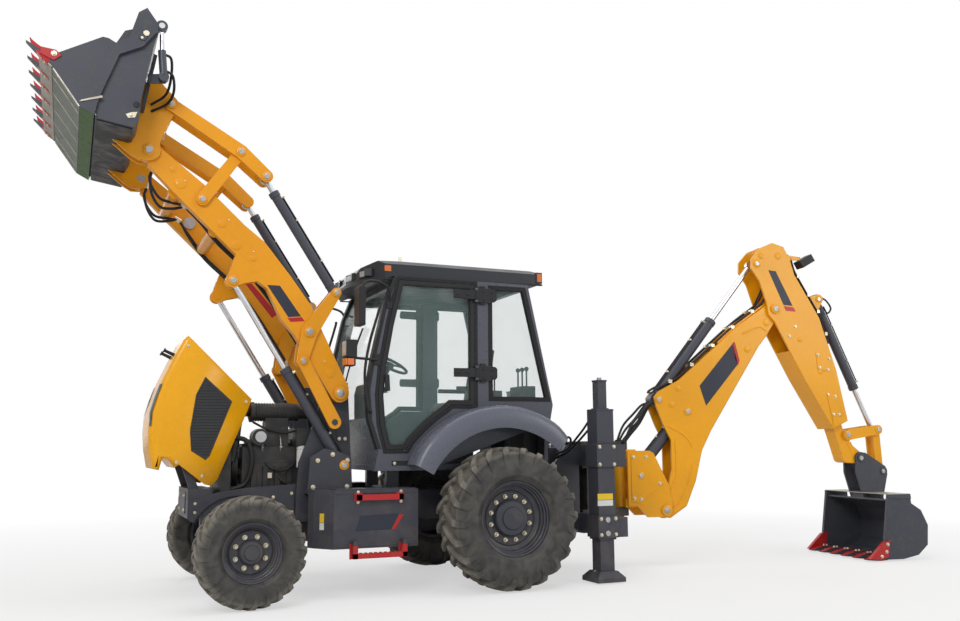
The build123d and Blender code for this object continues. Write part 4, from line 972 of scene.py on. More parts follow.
# ------------------------------------------------------------------ cab doors, seals and hinges
# Black moulded door frames with a rubber bead round each bonded pane, heavy black hinges on the rear
# pillar, a bent black handrail on the front pillar and a wiper on the windscreen.
DOOR_LINE = (
    (205, 2905), (985, 2905), (1085, 2480), (1160, 2060), (1185, 1801), (1165, 1520), (1105, 1292),
    (905, 1292), (860, 1365), (800, 1430), (700, 1525), (600, 1605), (500, 1670), (450, 1715), (205, 1715),
)
QUARTER_LINE = ((25, 2880), (25, 1790), (-590, 1790), (-335, 2880))
PILLAR_LINE = ((1040, 2930), (1132, 2690), (1256, 2128), (1302, 1846), (1280, 1568), (1190, 1300))
HINGE_ZS = (2030.0, 2800.0)


def inset(points, by):
    """A closed outline drawn in by a distance; a negative distance lets it out."""
    ring = list(zip(points[-1:] + points[:-1], points, points[1:] + points[:1]))
    turn = sum(a[0] * b[1] - b[0] * a[1] for a, b, c in ring)
    moved = []
    for a, b, c in ring:
        one, two = (Vector(b) - Vector(a)).normalized(), (Vector(c) - Vector(b)).normalized()
        left, right = Vector((-one.y, one.x)), Vector((-two.y, two.x))
        corner = (left + right) / (1 + left.dot(right)) * (by if turn > 0 else -by)
        moved.append((b[0] + corner.x, b[1] + corner.y))
    return moved


def frame_ring(form, points, outer, inner, y0, y1):
    """A flat ring in the XZ plane between two insets of an outline."""
    far, near = inset(points, outer), inset(points, inner)
    form.loft(
        [(x, y0, z) for x, z in far], [(x, y1, z) for x, z in far],
        [(x, y1, z) for x, z in near], [(x, y0, z) for x, z in near], ring=True,
    )


seal = moulding("window seal rubber", rgb(0.012, 0.012, 0.013), 0.6, 500.0)
for hand, side in (("left", 1), ("right", -1)):
    door = Form()
    frame_ring(door, DOOR_LINE, 3, 40, side * 778, side * 783)
    for z in HINGE_ZS:
        door.plate(
            [(212, z - 46), (420, z - 40), (436, z - 26), (436, z + 26), (420, z + 40), (212, z + 46)],
            side * 806, side * 820,
        )
        for x in (290, 392):
            door.lathe([(15, 0), (15, 5), (11, 7)], (x, side * 819, z), (0, side, 0), 20)
    door.plate([(1075, 1840), (1120, 1835), (1128, 1990), (1085, 1995)], side * 780, side * 806)
    door.tint = 1
    frame_ring(door, DOOR_LINE, 38, 50, side * 747, side * 781)
    door.make(f"door_{hand}_trim", [black_trim, seal], f"door_{hand}", bevel=2.5)

surround = Form()
for side in (1, -1):
    surround.tint = 1
    frame_ring(surround, QUARTER_LINE, -30, 14, side * 736, side * 783.5)
    frame_ring(surround, DOOR_LINE, -34, -7, side * 776, side * 782)
    surround.tint = 0
    for z in HINGE_ZS:
        surround.plate(
            [(-6, z - 62), (176, z - 74), (180, z + 74), (-6, z + 62), (-26, z + 40), (-26, z - 40)],
            side * 782, side * 812,
        )
        surround.plate([(96, z - 92), (150, z - 92), (150, z + 92), (96, z + 92)], side * 782, side * 800)
        for x, dz in ((24, -34), (24, 34), (120, -40), (120, 40)):
            surround.lathe([(13, 0), (13, 5), (10, 7)], (x, side * 811, z + dz), (0, side, 0), 18)
    surround.tube(
        [
            (1187, side * 778, 2672), (1178, side * 806, 2664), (1205, side * 808, 2560),
            (1290, side * 808, 2250), (1326, side * 808, 1975), (1290, side * 808, 1690),
            (1262, side * 800, 1648), (1258, side * 776, 1646),
        ],
        13, 12,
    )
    surround.plate([(774, 1147), (1049, 1147), (1049, 1191), (774, 1191)], side * 779, side * 782)
    surround.tint = 2
    for x in (800, 1022):
        surround.bolt((x, side * 782, 1169), (0, side, 0), 20, 9)
surround.tint = 0
surround.tube([(1302, 40, 1840), (1322, 60, 1860), (1300, 150, 2060), (1262, 260, 2280)], 8, 8, 6)
surround.tube([(1270, 205, 2140), (1262, 262, 2280), (1208, 330, 2480)], 9, 6, 6)
surround.make("cab_trim", [black_trim, seal, zinc], "chassis", bevel=2.5)

# the front pillars are faced in black where the panes are bonded
facing = Form()
for side in (1, -1):
    facing.plate([*PILLAR_LINE, *((x - 40, z) for x, z in PILLAR_LINE[::-1])], side * 700, side * 781.5)
facing.make("pillar_facing", [black_trim], "chassis", bevel=4.0)


# ------------------------------------------------------------------ mirrors and lamps
# Black moulded mirror heads on bent tube arms, work lamps with ribbed clear lenses, and amber turn
# lamps under them. The roof carries two pairs of ribbed lamps in its visor and an amber lamp near each
# corner.
def lens_coat(name, tone, gloss=0.12):
    coat = Coat(name)
    ribs = coat.node(
        "TexWave", {"bands_direction": "Y"}, {"Vector": coat.place, "Scale": 42.0, "Distortion": 0.0}, 1
    )
    coat.finish(
        Base_Color=coat.blend(ribs, tone, rgb(*(0.62 * level for level in tone[:3]))),
        Roughness=gloss + coat.noise(60.0) * 0.06,
        Normal=coat.bump(ribs, 0.0012),
        Coat_Weight=0.8,
    )
    return coat


amber = lens_coat("amber lens", rgb(0.85, 0.19, 0.008))
clear_lens = lens_coat("clear lens", rgb(0.42, 0.44, 0.45))
mirror_face = metal("mirror glass", rgb(0.82, 0.84, 0.86), 0.03, 0.03)


def lamps():
    form = Form()
    for side in (1, -1):
        form.tint = 0
        form.block(1386, 1448, side * 852, side * 1020, 2422, 2778)
        form.tube(
            [
                (1075, side * 778, 2680), (1110, side * 838, 2800), (1230, side * 900, 2850),
                (1352, side * 924, 2842), (1408, side * 932, 2770),
            ],
            13, 10,
        )
        form.block(1060, 1112, side * 779, side * 792, 2620, 2722)
        form.block(1170, 1232, side * 779, side * 792, 2078, 2184)
        form.tube(
            [
                (1200, side * 788, 2132), (1290, side * 806, 2132), (1420, side * 822, 2138),
                (1484, side * 860, 2150),
            ],
            13, 10,
        )
        form.block(1452, 1552, side * 852, side * 986, 2128, 2288)
        form.block(1462, 1546, side * 862, side * 978, 2050, 2122)
        form.tint = 2
        form.block(1549, 1560, side * 862, side * 976, 2142, 2274)
        form.tint = 1
        form.block(1543, 1558, side * 868, side * 986, 2056, 2116)
        form.block(1480, 1540, side * 974, side * 989, 2056, 2116)
        form.tint = 3
        form.block(1382, 1390, side * 864, side * 1008, 2438, 2762)
    made = form.make(
        "mirrors_and_lamps", [black_trim, amber, clear_lens, mirror_face], "chassis", bevel=9.0, segments=3
    )
    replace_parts(made, "lamps_mirrors")
    roof = Form()
    for side in (1, -1):
        for x, y, turn in ((1276, 215, 8.5), (1212, 520, 21.0)):
            out = Vector((cos(radians(turn)), side * sin(radians(turn)), 0))
            along = Vector((-out.y, out.x, 0))
            for tint, wide, high, near, far in ((0, 108, 40, 30, 38), (2, 94, 28, 34, 41)):
                roof.tint = tint
                middle = Vector((x, side * y, 2992))
                loops = [
                    [
                        middle + out * d + along * a + Vector((0, 0, b)) for a,
                        b in ((-wide, -high), (wide, -high), (wide, high), (-wide, high))
                    ] for d in (near, far)
                ]
                roof.loft(*loops)
        roof.tint = 1
        roof.block(-552, -503, side * 764, side * 773, 2982, 3066)
        roof.block(1062, 1128, side * 752, side * 768, 2984, 3040)
        roof.tint = 0
        roof.plate([(1150, 2902), (1150, 2912), (-566, 2962), (-566, 2946)], side * 740, side * 766)
    roof.tint = 4
    roof.rod((905, 560, 3100), (905, 560, 3172), 17, 14)
    roof.lathe([(30, 0), (30, 8)], (905, 560, 3118), (0, 0, 1), 20)
    roof.make("roof_lamps", [black_trim, amber, clear_lens, mirror_face, zinc], "chassis", bevel=3.0)


lamps()


# ------------------------------------------------------------------ rear wings
# One-piece moulded wings wrapped over the rear wheels, with a soft shoulder and a rolled lip.
WING_IN, WING_OUT = 787.0, 1050.0
WING_SECTION = (
    (837, WING_OUT - 14), (836, WING_OUT - 3), (846, WING_OUT), (925, WING_OUT), (985, WING_OUT - 3),
    (1022, WING_OUT - 16), (1044, WING_OUT - 40), (1054, WING_OUT - 78), (1055, WING_IN), (1044, WING_IN),
    (1042, WING_OUT - 84), (1030, WING_OUT - 50), (1005, WING_OUT - 24), (975, WING_OUT - 13),
    (900, WING_OUT - 11),
)


# where the wing starts and ends about the hub, in degrees, and how many sections lie between
WING_START, WING_END, WING_STEPS = 29.0, 133.0, 28
WING_LOW, WING_HIGH = 836, 1055
REAR_HUB_Z = 657


def wing(side):
    """Sections swept round the hub; the rolled shoulder fades towards both ends."""
    form = Form()
    loops = []
    for i in range(WING_STEPS + 1):
        turn = WING_START + i * (WING_END - WING_START) / WING_STEPS
        shrink = max(0.0, 40.0 - turn) * 2.2 + max(0.0, turn - 124.0) * 3.0
        a = radians(turn)
        loop = []
        for r, y in WING_SECTION:
            reach = r - shrink * (r - WING_LOW) / (WING_HIGH - WING_LOW)
            loop.append((reach * cos(a), side * y, REAR_HUB_Z + reach * sin(a)))
        loops.append(loop)
    form.loft(*loops)
    return form


# The wings' grey is painted lighter than the slate elsewhere on the machine: a painted highlight on their
# rounded tops.
wing_grey_painted_highlight = enamel("wing grey with painted highlight", rgb(0.125, 0.132, 0.168), 0.12, 0.24)
for hand, side in (("left", 1), ("right", -1)):
    made = wing(side).make(f"wing_{hand}", [wing_grey_painted_highlight], "chassis", bevel=2.0)
    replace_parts(made, "rear_fenders")


# ------------------------------------------------------------------ seat
# A sprung seat on a steel pedestal: a padded base and back in black cloth with piped edges, and a small
# head cushion. The padding is filled with air pressure and then kept at that shape.
def woven(name, tone):
    coat = Coat(name)
    weft = coat.node(
        "TexWave", {"bands_direction": "Y"}, {"Vector": coat.place, "Scale": 190.0, "Distortion": 1.5}, 1
    )
    warp = coat.node(
        "TexWave", {"bands_direction": "X"}, {"Vector": coat.place, "Scale": 190.0, "Distortion": 1.5}, 1
    )
    wear = coat.step(coat.noise(7.0, 5.0), 0.35, 0.75)
    coat.finish(
        Base_Color=coat.blend(weft * 0.5 + wear * 0.3, tone, rgb(*(1.9 * level for level in tone[:3]))),
        Roughness=0.82 + wear * 0.1,
        Normal=coat.bump(weft + warp, 0.0005),
        Sheen_Weight=0.25,
    )
    return coat


seat_cloth = woven("seat cloth", rgb(0.03, 0.031, 0.036))


def settled(piece):
    """The mesh of a piece with its modifiers applied."""
    mesh = bpy.data.meshes.new_from_object(piece.evaluated_get(bpy.context.evaluated_depsgraph_get()))
    piece.modifiers.clear()
    piece.data = mesh
    return mesh


def cushion(name, size, place, lean, cap):
    """A crowned pad of a given size, filled and settled; lean turns it back about Y."""
    form = Form()
    dx, dy, dz = (0.5 * length for length in size)
    form.block(-dx, dx, -dy, dy, -dz, dz)
    mesh = bpy.data.meshes.new(name)
    mesh.from_pydata([c * MM for c in form.corners], [], form.faces)
    piece = bpy.data.objects.new(name, mesh)
    bpy.context.scene.collection.objects.link(piece)
    round_off = piece.modifiers.new("round", "BEVEL")
    round_off.width, round_off.segments = 0.34 * min(size) * MM, 5
    skin = piece.modifiers.new("skin", "REMESH")
    skin.mode, skin.voxel_size = "VOXEL", 0.006
    mesh = settled(piece)
    before = [v.co.copy() for v in mesh.vertices]
    fill = piece.modifiers.new("fill", "CLOTH")
    fill.settings.use_pressure = True
    fill.settings.uniform_pressure_force = 4.0
    fill.settings.effector_weights.gravity = 0.0
    for step in range(1, 21):
        bpy.context.scene.frame_set(step)
    mesh = settled(piece)
    for vertex, start in zip(mesh.vertices, before):
        move = vertex.co - start
        if move.length > cap * MM:
            vertex.co = start + move.normalized() * cap * MM
    bpy.context.scene.frame_set(1)
    finer = piece.modifiers.new("finer", "SUBSURF")
    finer.levels = finer.render_levels = 1
    mesh = settled(piece)
    mesh.transform(Matrix.Translation([c * MM for c in place]) @ Matrix.Rotation(radians(lean), 4, "Y"))
    mesh.materials.append(seat_cloth.material)
    mesh.shade_smooth()
    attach(piece, "chassis")
    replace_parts(piece, "seat")
    return piece


# columns: name, length x width x thickness, middle, lean, how far the padding may swell
for name, size, place, lean, cap in (
    ("seat_base_cushion", (430, 430, 96), (100, 0, 1700), -4.0, 12),
    ("seat_back_cushion", (86, 410, 600), (-165, 0, 2050), -10.0, 12),
    ("seat_head_cushion", (70, 230, 120), (-228, 0, 2395), -10.0, 9),
):
    cushion(name, size, place, lean, cap)

pedestal = Form()
pedestal.block(-70, 270, -165, 165, 1152, 1210)
for k in range(6):
    pedestal.block(-50, 250, -145 + k * 2, 145 - k * 2, 1212 + k * 66, 1262 + k * 66)
pedestal.block(-120, 320, -210, 210, 1620, 1652)
pedestal.plate([(-190, 1700), (-150, 1690), (-262, 2330), (-290, 2330)], -170, 170)
for side in (1, -1):
    pedestal.tint = 1
    pedestal.tube([(300, side * 196, 1744), (100, side * 208, 1752), (-90, side * 196, 1752)], 4.5, 8)
    pedestal.tube([(-112, side * 190, 1790), (-160, side * 192, 2060), (-206, side * 188, 2320)], 4.5, 8)
    pedestal.tint = 0
    pedestal.block(-120, 180, side * 238, side * 286, 1890, 1932)
    pedestal.rod((-130, side * 262, 1900), (-140, side * 200, 1780), 14)
pedestal.make("seat_pedestal", [black_trim, seal], "chassis", bevel=5.0)


# ------------------------------------------------------------------ dashboard
# A moulded black dash with an instrument hood and three round gauges under clear lenses; the steering wheel
# on its raked column is the console's.
dash = Form()
dash.plate([(905, 1860), (1075, 1955), (1105, 1940), (1128, 1850), (960, 1850)], -235, 235)
dash.plate([(900, 1885), (925, 1960), (1010, 2010), (1060, 1990), (1065, 1940)], -120, 120)
dash.tint = 1
for y, r in ((-62, 30), (0, 36), (62, 30)):
    dash.lathe([(r, 0), (r, 4), (r - 5, 6), (r - 6, 3)], (906, y, 1924), (-0.95, 0, 0.3), 24)
dash.make("dash_trim", [black_trim, clear_lens], "chassis", bevel=6.0)


# ------------------------------------------------------------------ side tanks and steps
# Slate tanks beside the frame with a red grab bar and a red step bolted to each, a blank dark panel with
# a red slash on the side and a blank two-tone sticker on the front corner.
TANK_Y = 900.0
tank = Form()
for side in (1, -1):
    tank.tint = 0
    for x0, x1, z, reach, high in ((988, 1422, 848, 57, 50), (958, 1462, 343, 77, 44)):
        lift = 0 if z > 500 else 68
        y1 = side * (TANK_Y + reach)
        tank.block(x0, x1, y1 - side * 30, y1, z, z + high)
        for x in (x0, x1 - 44):
            tank.block(x, x + 44, side * (TANK_Y - 4), y1, z - 2, z + high + lift)
            tank.block(x - 16, x + 60, side * TANK_Y, side * (TANK_Y + 8), z - 8, z + high + lift + 14)
        if lift:
            for k in range(9):
                tank.block(
                    x0 + 52 + k * 46, x0 + 78 + k * 46, y1 - side * 28, y1 - side * 4, z + high - 2,
                    z + high + 7,
                )
    tank.tint = 1
    tank.plate(
        [(1382, 712), (1046, 721), (1018, 716), (1094, 581), (1422, 577)], side * (TANK_Y - 1),
        side * (TANK_Y + 2.2),
    )
    tank.tint = 2
    tank.plate(
        [(1010, 715), (971, 708), (1050, 584), (1086, 580)], side * (TANK_Y - 1), side * (TANK_Y + 2.2)
    )
    tank.tint = 3
    for x in (1000, 1404, 972, 1444):
        for z in (830, 920) if x in (1000, 1404) else (470,):
            tank.bolt((x, side * (TANK_Y + 7), z), (0, side, 0), 19, 8)
    tank.tint = 4
    tank.block(822, 834, side * 640, side * 884, 452, 900)
    tank.block(850, 1600, side * 640, side * 884, 938, 948)
    tank.plate([(846, 444), (1612, 444), (1612, 462), (846, 462)], side * (TANK_Y - 1), side * (TANK_Y + 5))
    tank.plate([(846, 906), (1612, 906), (1612, 924), (846, 924)], side * (TANK_Y - 1), side * (TANK_Y + 5))
    tank.lathe([(52, 0), (52, 26), (44, 34), (20, 36)], (1180, side * 770, 938), (0, 0, 1), 28)
    # a blank sticker on the slanting front panel
    ahead = Vector((200, side * -135, 0)).normalized()
    out = Vector((135, side * 200, 0)).normalized()
    for tint, low, high in ((5, 655, 735), (6, 590, 652)):
        tank.tint = tint
        mid = Vector((1692, side * 800, 0))
        corners = [
            mid + ahead * a + Vector((0, 0, z)) for a, z in ((-34, low), (34, low), (34, high), (-34, high))
        ]
        tank.loft([c - out * 3 for c in corners], [c + out * 3.5 for c in corners])
sticker_yellow = moulding("yellow sticker", rgb(0.82, 0.55, 0.03), 0.4, 700.0, 0.00005)
sticker_white = moulding("white sticker", rgb(0.72, 0.72, 0.70), 0.4, 700.0, 0.00005)
tank.make(
    "tank_fittings", [safety_red, dark_vinyl, safety_red, zinc, low_slate, sticker_yellow, sticker_white],
    "chassis", bevel=3.0,
)


# ------------------------------------------------------------------ frame details
# Access plates of flame-cut steel, each held by hex bolts, on the loader towers, the frame's sides and
# its nose.
frame_bits = Form()
for side in (1, -1):
    frame_bits.tint = 0
    frame_bits.plate([(1385, 1380), (1480, 1380), (1560, 1860), (1470, 1880)], side * 439, side * 449)
    frame_bits.plate([(1860, 700), (2080, 660), (2080, 900), (1870, 930)], side * 384, side * 392)
    frame_bits.block(2690, 2812, side * 364, side * 374, 720, 862)
    frame_bits.tint = 1
    for x, z in ((1405, 1400), (1462, 1400), (1488, 1850), (1545, 1842)):
        frame_bits.bolt((x, side * 448, z), (0, side, 0), 22, 9)
    for x, z in ((1420, 960), (1740, 960), (1420, 1200), (1700, 1200), (1560, 1255)):
        frame_bits.bolt((x, side * 592, z), (0, side, 0), 28, 12)
    for x, z in ((1885, 730), (2060, 700), (1890, 900), (2060, 870)):
        frame_bits.bolt((x, side * 391, z), (0, side, 0), 20, 9)
    for z in (752, 830):
        frame_bits.bolt((2750, side * 373, z), (0, side, 0), 26, 11)
frame_bits.tint = 0
frame_bits.block(2812, 2822, -210, 210, 735, 925)
frame_bits.tint = 1
for y in (-170, 170):
    for z in (765, 895):
        frame_bits.bolt((2822, y, z), (1, 0, 0), 26, 11)
frame_bits.make("frame_bits", [low_slate, zinc], "chassis", bevel=3.0)


# ------------------------------------------------------------------ engine details
# What shows of the engine under the raised bonnet: a ribbed black air cleaner, two white filters, a silver
# alternator and belt, a silver rocker cover, pipes, hoses and loom. Each rides on the block.
white_can = moulding("white filter can", rgb(0.70, 0.70, 0.68), 0.35, 500.0, 0.0001)
cast_silver = metal("cast aluminium", rgb(0.46, 0.46, 0.47), 0.42, 0.25)
motor = Form()
for k in range(15):
    motor.lathe([(82, -4), (88, -2), (88, 8), (82, 10)], (1830 + k * 26, 150, 1655), (1, 0, 0), 36)
motor.lathe([(70, 0), (96, 4), (96, 40), (60, 52)], (2214, 150, 1655), (1, 0, 0), 36)
motor.lathe([(60, 0), (60, 90), (54, 96)], (1704, 150, 1655), (1, 0, 0), 32)
motor.block(1500, 2300, 150, 272, 1180, 1200)
motor.block(1520, 2310, -120, 120, 1325, 1360)
for k in range(7):
    motor.block(1540 + k * 110, 1590 + k * 110, 268, 290, 820, 1150)
motor.lathe([(120, 0), (120, 24), (40, 30)], (2332, 0, 960), (1, 0, 0), 40)
motor.tube(
    [(2270, 160, 1655), (2340, 190, 1640), (2380, 240, 1540), (2400, 260, 1380), (2430, 250, 1200)], 42, 16
)
motor.tube([(1760, 130, 1655), (1680, 90, 1640), (1640, 60, 1540), (1650, 30, 1380)], 36, 16)
motor.tint = 1
for x in (1660, 1790):
    motor.lathe([(44, -96), (50, -90), (50, 60), (46, 74)], (x, 338, 1230), (0, 0, 1), 32)
    motor.lathe([(26, 72), (52, 74), (52, 98), (30, 108)], (x, 338, 1230), (0, 0, 1), 32)
motor.tint = 2
motor.lathe(
    [(60, 0), (78, 10), (78, 36), (70, 40), (70, 100), (78, 104), (78, 130), (62, 142)], (2180, 186, 1420),
    (0, 1, 0), 36,
)
motor.lathe([(52, 0), (46, 8), (46, 18), (52, 26)], (2180, 336, 1420), (0, 1, 0), 28)
motor.block(1560, 2260, -100, 100, 1358, 1402)
for k in range(4):
    motor.rod((1640 + k * 170, 268, 1290), (1640 + k * 170, 300, 1330), 13)
    motor.tube([(1640 + k * 170, 296, 1330), (1640 + k * 170, 250, 1420), (1700 + k * 140, 150, 1440)], 6, 8)
motor.block(1470, 1482, 120, 270, 900, 1180)
motor.tint = 3
for start, sag in (
    ((2120, 262, 1190), 60), ((2020, 262, 1100), 90), ((1900, 262, 1000), 70), ((1760, 262, 930), 50)
):
    x, y, z = start
    motor.tube(
        [
            (x, y, z), (x - 60, y + 52, z - sag), (x - 170, y + 62, z - sag * 1.3),
            (x - 260, y + 40, z - sag * 0.4), (x - 300, y, z + 20),
        ],
        12, 8,
    )
motor.tube(
    [
        (2230, 200, 1560), (2120, 250, 1500), (1960, 262, 1460), (1820, 252, 1480), (1640, 160, 1500),
        (1500, 60, 1480),
    ],
    11, 8,
)
motor.tube(
    [(2450, 300, 1420), (2300, 318, 1380), (2250, 324, 1200), (2300, 300, 1000), (2440, 290, 940)], 22, 12
)
motor.tint = 4
motor.block(1610, 1840, 296, 352, 1330, 1352)
motor.block(2060, 2100, 260, 306, 1040, 1090)
motor.rod((1560, 40, 1402), (1560, 40, 1430), 34, 28, 24)
for y in (-290, 290):
    motor.block(2440, 2530, y - 30, y + 30, 1470, 1486)
motor.make("engine_details", [engine_black, white_can, cast_silver, hose_black, zinc], "chassis", bevel=2.0)


# ------------------------------------------------------------------ stabilisers and side-shift frame
# Square leg boxes with bolted guide plates and a mast on top; the legs slide on greased faces and stand
# on swivelling feet. Hoses run from the valve block behind the cab to each leg.
LEG_X, LEG_Y = -1060.0, 1015.0
posts = Form()
for side in (1, -1):
    posts.tint = 0
    x0, x1, y1 = LEG_X - 111, LEG_X + 111, side * 1126.0
    for z0, z1 in ((1112, 1333), (432, 638)):
        posts.block(x0 - 3, x1 + 3, y1 - side * 4, y1 + side * 5, z0 - 2, z1 + 2)
    posts.block(-1160, -960, side * 1106, side * 1114, 1344, 1352)
    posts.block(-1160, -960, side * 1106, side * 1114, 1664, 1676)
    posts.block(-1124, -996, side * 951, side * 1079, 1672, 1690)
    posts.block(-1116, -1004, side * 959, side * 1071, 1955, 1972)
    posts.tint = 1
    for x, z in (
        (-1142, 1136), (-978, 1136), (-1142, 1308), (-978, 1308), (-1142, 460), (-978, 460), (-1142, 612),
        (-978, 612),
    ):
        posts.bolt((x, side * 1130, z), (0, side, 0), 24, 11)
    posts.tint = 2
    for z in (605, 476):
        posts.boss((-1050, side * 1130, z - 4), (0, side, 0), 27, 10)
    posts.bolt((LEG_X, side * LEG_Y, 1968), (0, 0, 1), 40, 26)
    posts.tint = 3
    posts.block(-1126, -953, side * 1108, side * 1112.5, 794, 853)
    posts.tint = 4
    posts.block(-1126, -953, side * 1108, side * 1112.5, 735, 790)
    posts.tint = 5
    posts.tube(
        [
            (LEG_X, side * 915, 1560), (-1040, side * 870, 1590), (-980, side * 760, 1450),
            (-930, side * 560, 1290), (-900, side * 380, 1240),
        ],
        12, 8,
    )
    posts.tube(
        [
            (LEG_X, side * 915, 1500), (-1045, side * 850, 1500), (-985, side * 730, 1380),
            (-935, side * 540, 1250), (-905, side * 360, 1200),
        ],
        12, 8,
    )
posts.tint = 0
posts.block(-1000, -880, -260, 260, 1140, 1300)
posts.tint = 2
for k in range(6):
    posts.lathe([(20, 0), (20, 34), (12, 40)], (-950, -210 + k * 84, 1298), (0, 0, 1), 18)
posts.tint = 5
for k in range(4):
    y = -150 + k * 100
    posts.tube(
        [(-1000, y, 1230), (-1070, y, 1320 + k * 12), (-1140, y, 1410), (-1196, y, 1400), (-1204, y, 1332)],
        13, 8,
    )
posts.make(
    "stabilizer_fittings", [low_slate, zinc, pin_steel, sticker_yellow, sticker_white, hose_black], "chassis",
    bevel=2.0,
)

for hand, side in (("left", 1), ("right", -1)):
    foot = Form()
    y = side * LEG_Y
    foot.lathe([(30, -96), (30, 96)], (LEG_X, y, 98), (1, 0, 0), 24)
    for x in (LEG_X - 36, LEG_X + 20):
        foot.block(x, x + 16, y - 70, y + 70, 60, 130)
    foot.tint = 1
    for axis in (1, -1):
        foot.bolt((LEG_X + 96 * axis, y, 98), (axis, 0, 0), 30, 10)
    foot.tint = 0
    for k in range(4):
        x = LEG_X - 153 + k * 96
        foot.block(x, x + 18, y - 150, y + 150, 12.5, 24)
    foot.make(f"foot_{hand}", [low_slate, zinc], f"stabilizer_{hand}", bevel=2.0)


# ------------------------------------------------------------------ kingpost and carriage
# The kingpost swings between two lugs of the side-shift carriage. It carries the boom's foot, the foot of
# its cylinder, and the bundle of black hoses that feeds the boom. Two short cylinders swing it.
SWING_X = -1900.0
SWUNG = Matrix.Rotation(radians(-9.0), 4, "Z")
SWUNG = Matrix.Translation((SWING_X * MM, 0, 0)) @ SWUNG @ Matrix.Translation((-SWING_X * MM, 0, 0))
boom_yellow = enamel("boom yellow", rgb(0.93, 0.41, 0.006), 0.12, 0.26)
dress(boom_yellow, "kingpost", "boom", "dipper", "stick", "tip_lever", "tip_link")


def behind(points):
    """Places given as (distance behind the swing pin, height) turned into (x, z)."""
    return [(SWING_X - s, z) for s, z in points]


def back_hose(form, points, r):
    """A hose through points given as (distance behind the swing pin, y, height)."""
    form.tube([(SWING_X - s, y, z) for s, y, z in points], r, 8)


# columns: body, s, z, outer face y, radius
BACK_CAPS = (
    ("kingpost", 470.0, 602.0, 206.0, 60.0), ("kingpost", 175.0, 985.0, 196.0, 46.0),
    ("boom", 810.0, 1700.0, 125.0, 48.0), ("boom", 455.0, 1835.0, 125.0, 46.0),
    ("dipper", 1988.0, 2920.0, 172.0, 58.0), ("dipper", 1772.0, 3461.0, 160.0, 48.0),
    ("stick", 2904.0, 1426.0, 129.0, 52.0), ("stick", 2644.0, 3073.0, 80.0, 42.0),
    ("tip_lever", 3335.0, 1490.0, 124.0, 46.0),
    ("backhoe_bucket", 3064.0, 1152.0, 128.0, 46.0), ("backhoe_bucket", 3358.0, 994.0, 128.0, 40.0),
)
for body, s, z, y, r in BACK_CAPS:
    coats = [worn_slate if body == "backhoe_bucket" else boom_yellow, pin_steel, zinc]
    pin_caps(f"back_cap_{s:.0f}", (SWING_X - s, y, z), r, 0.6, coats, body, SWUNG)

post = Form()
for side in (1, -1):
    post.tint = 0
    post.plate(
        behind([(60, 700), (60, 1225), (250, 1225), (300, 1190), (440, 900), (150, 690)]), side * 195,
        side * 203,
    )
    post.tint = 1
    for s, z in ((90, 740), (90, 1190), (240, 1190), (400, 900), (170, 730)):
        post.bolt((SWING_X - s, side * 202, z), (0, side, 0), 26, 11)
    post.tint = 2
    for k, rise in ((0, 0), (1, 60), (2, 120)):
        y = side * (40 + k * 34)
        back_hose(
            post,
            [
                (-10, y, 1180), (20, y, 1300 + rise * 0.3), (110, y * 1.1, 1420 + rise),
                (240, y * 1.0, 1560 + rise), (330, y * 0.9, 1700 + rise * 0.6), (395, y * 0.85, 1800),
            ],
            14,
        )
post.tint = 1
for side in (1, -1):
    for k in range(3):
        y = side * (40 + k * 34)
        post.rod((SWING_X + 10, y, 1150), (SWING_X + 7, y, 1215), 19, 19, 12)
post.make("kingpost_fittings", [boom_yellow, zinc, hose_black], "kingpost", bevel=2.0, matrix=SWUNG)

slide = Form()
for y in (-285, -180, 180, 285):
    for z in (470, 575, 1160, 1290):
        slide.tint = 1
        slide.bolt((-1360, y, z), (-1, 0, 0), 30, 14)
for side in (1, -1):
    slide.tint = 0
    slide.rod((-1362, side * 235, 830), (-1640, side * 150, 830), 44, 44, 28)
    slide.lathe([(58, -34), (58, 34)], (-1372, side * 232, 830), (0, 0, 1), 24)
    slide.tint = 2
    slide.rod((-1630, side * 153, 830), (-1690, side * 134, 830), 24, 24, 20)
    slide.tint = 3
    slide.tube(
        [
            (-1400, side * 235, 876), (-1420, side * 260, 960), (-1400, side * 270, 1060),
            (-1366, side * 250, 1110),
        ],
        12, 8,
    )
    slide.tube(
        [
            (-1600, side * 160, 876), (-1560, side * 220, 980), (-1460, side * 250, 1080),
            (-1366, side * 225, 1150),
        ],
        12, 8,
    )
slide.make("carriage_fittings", [slate, zinc, chrome, hose_black], "carriage", bevel=2.0)


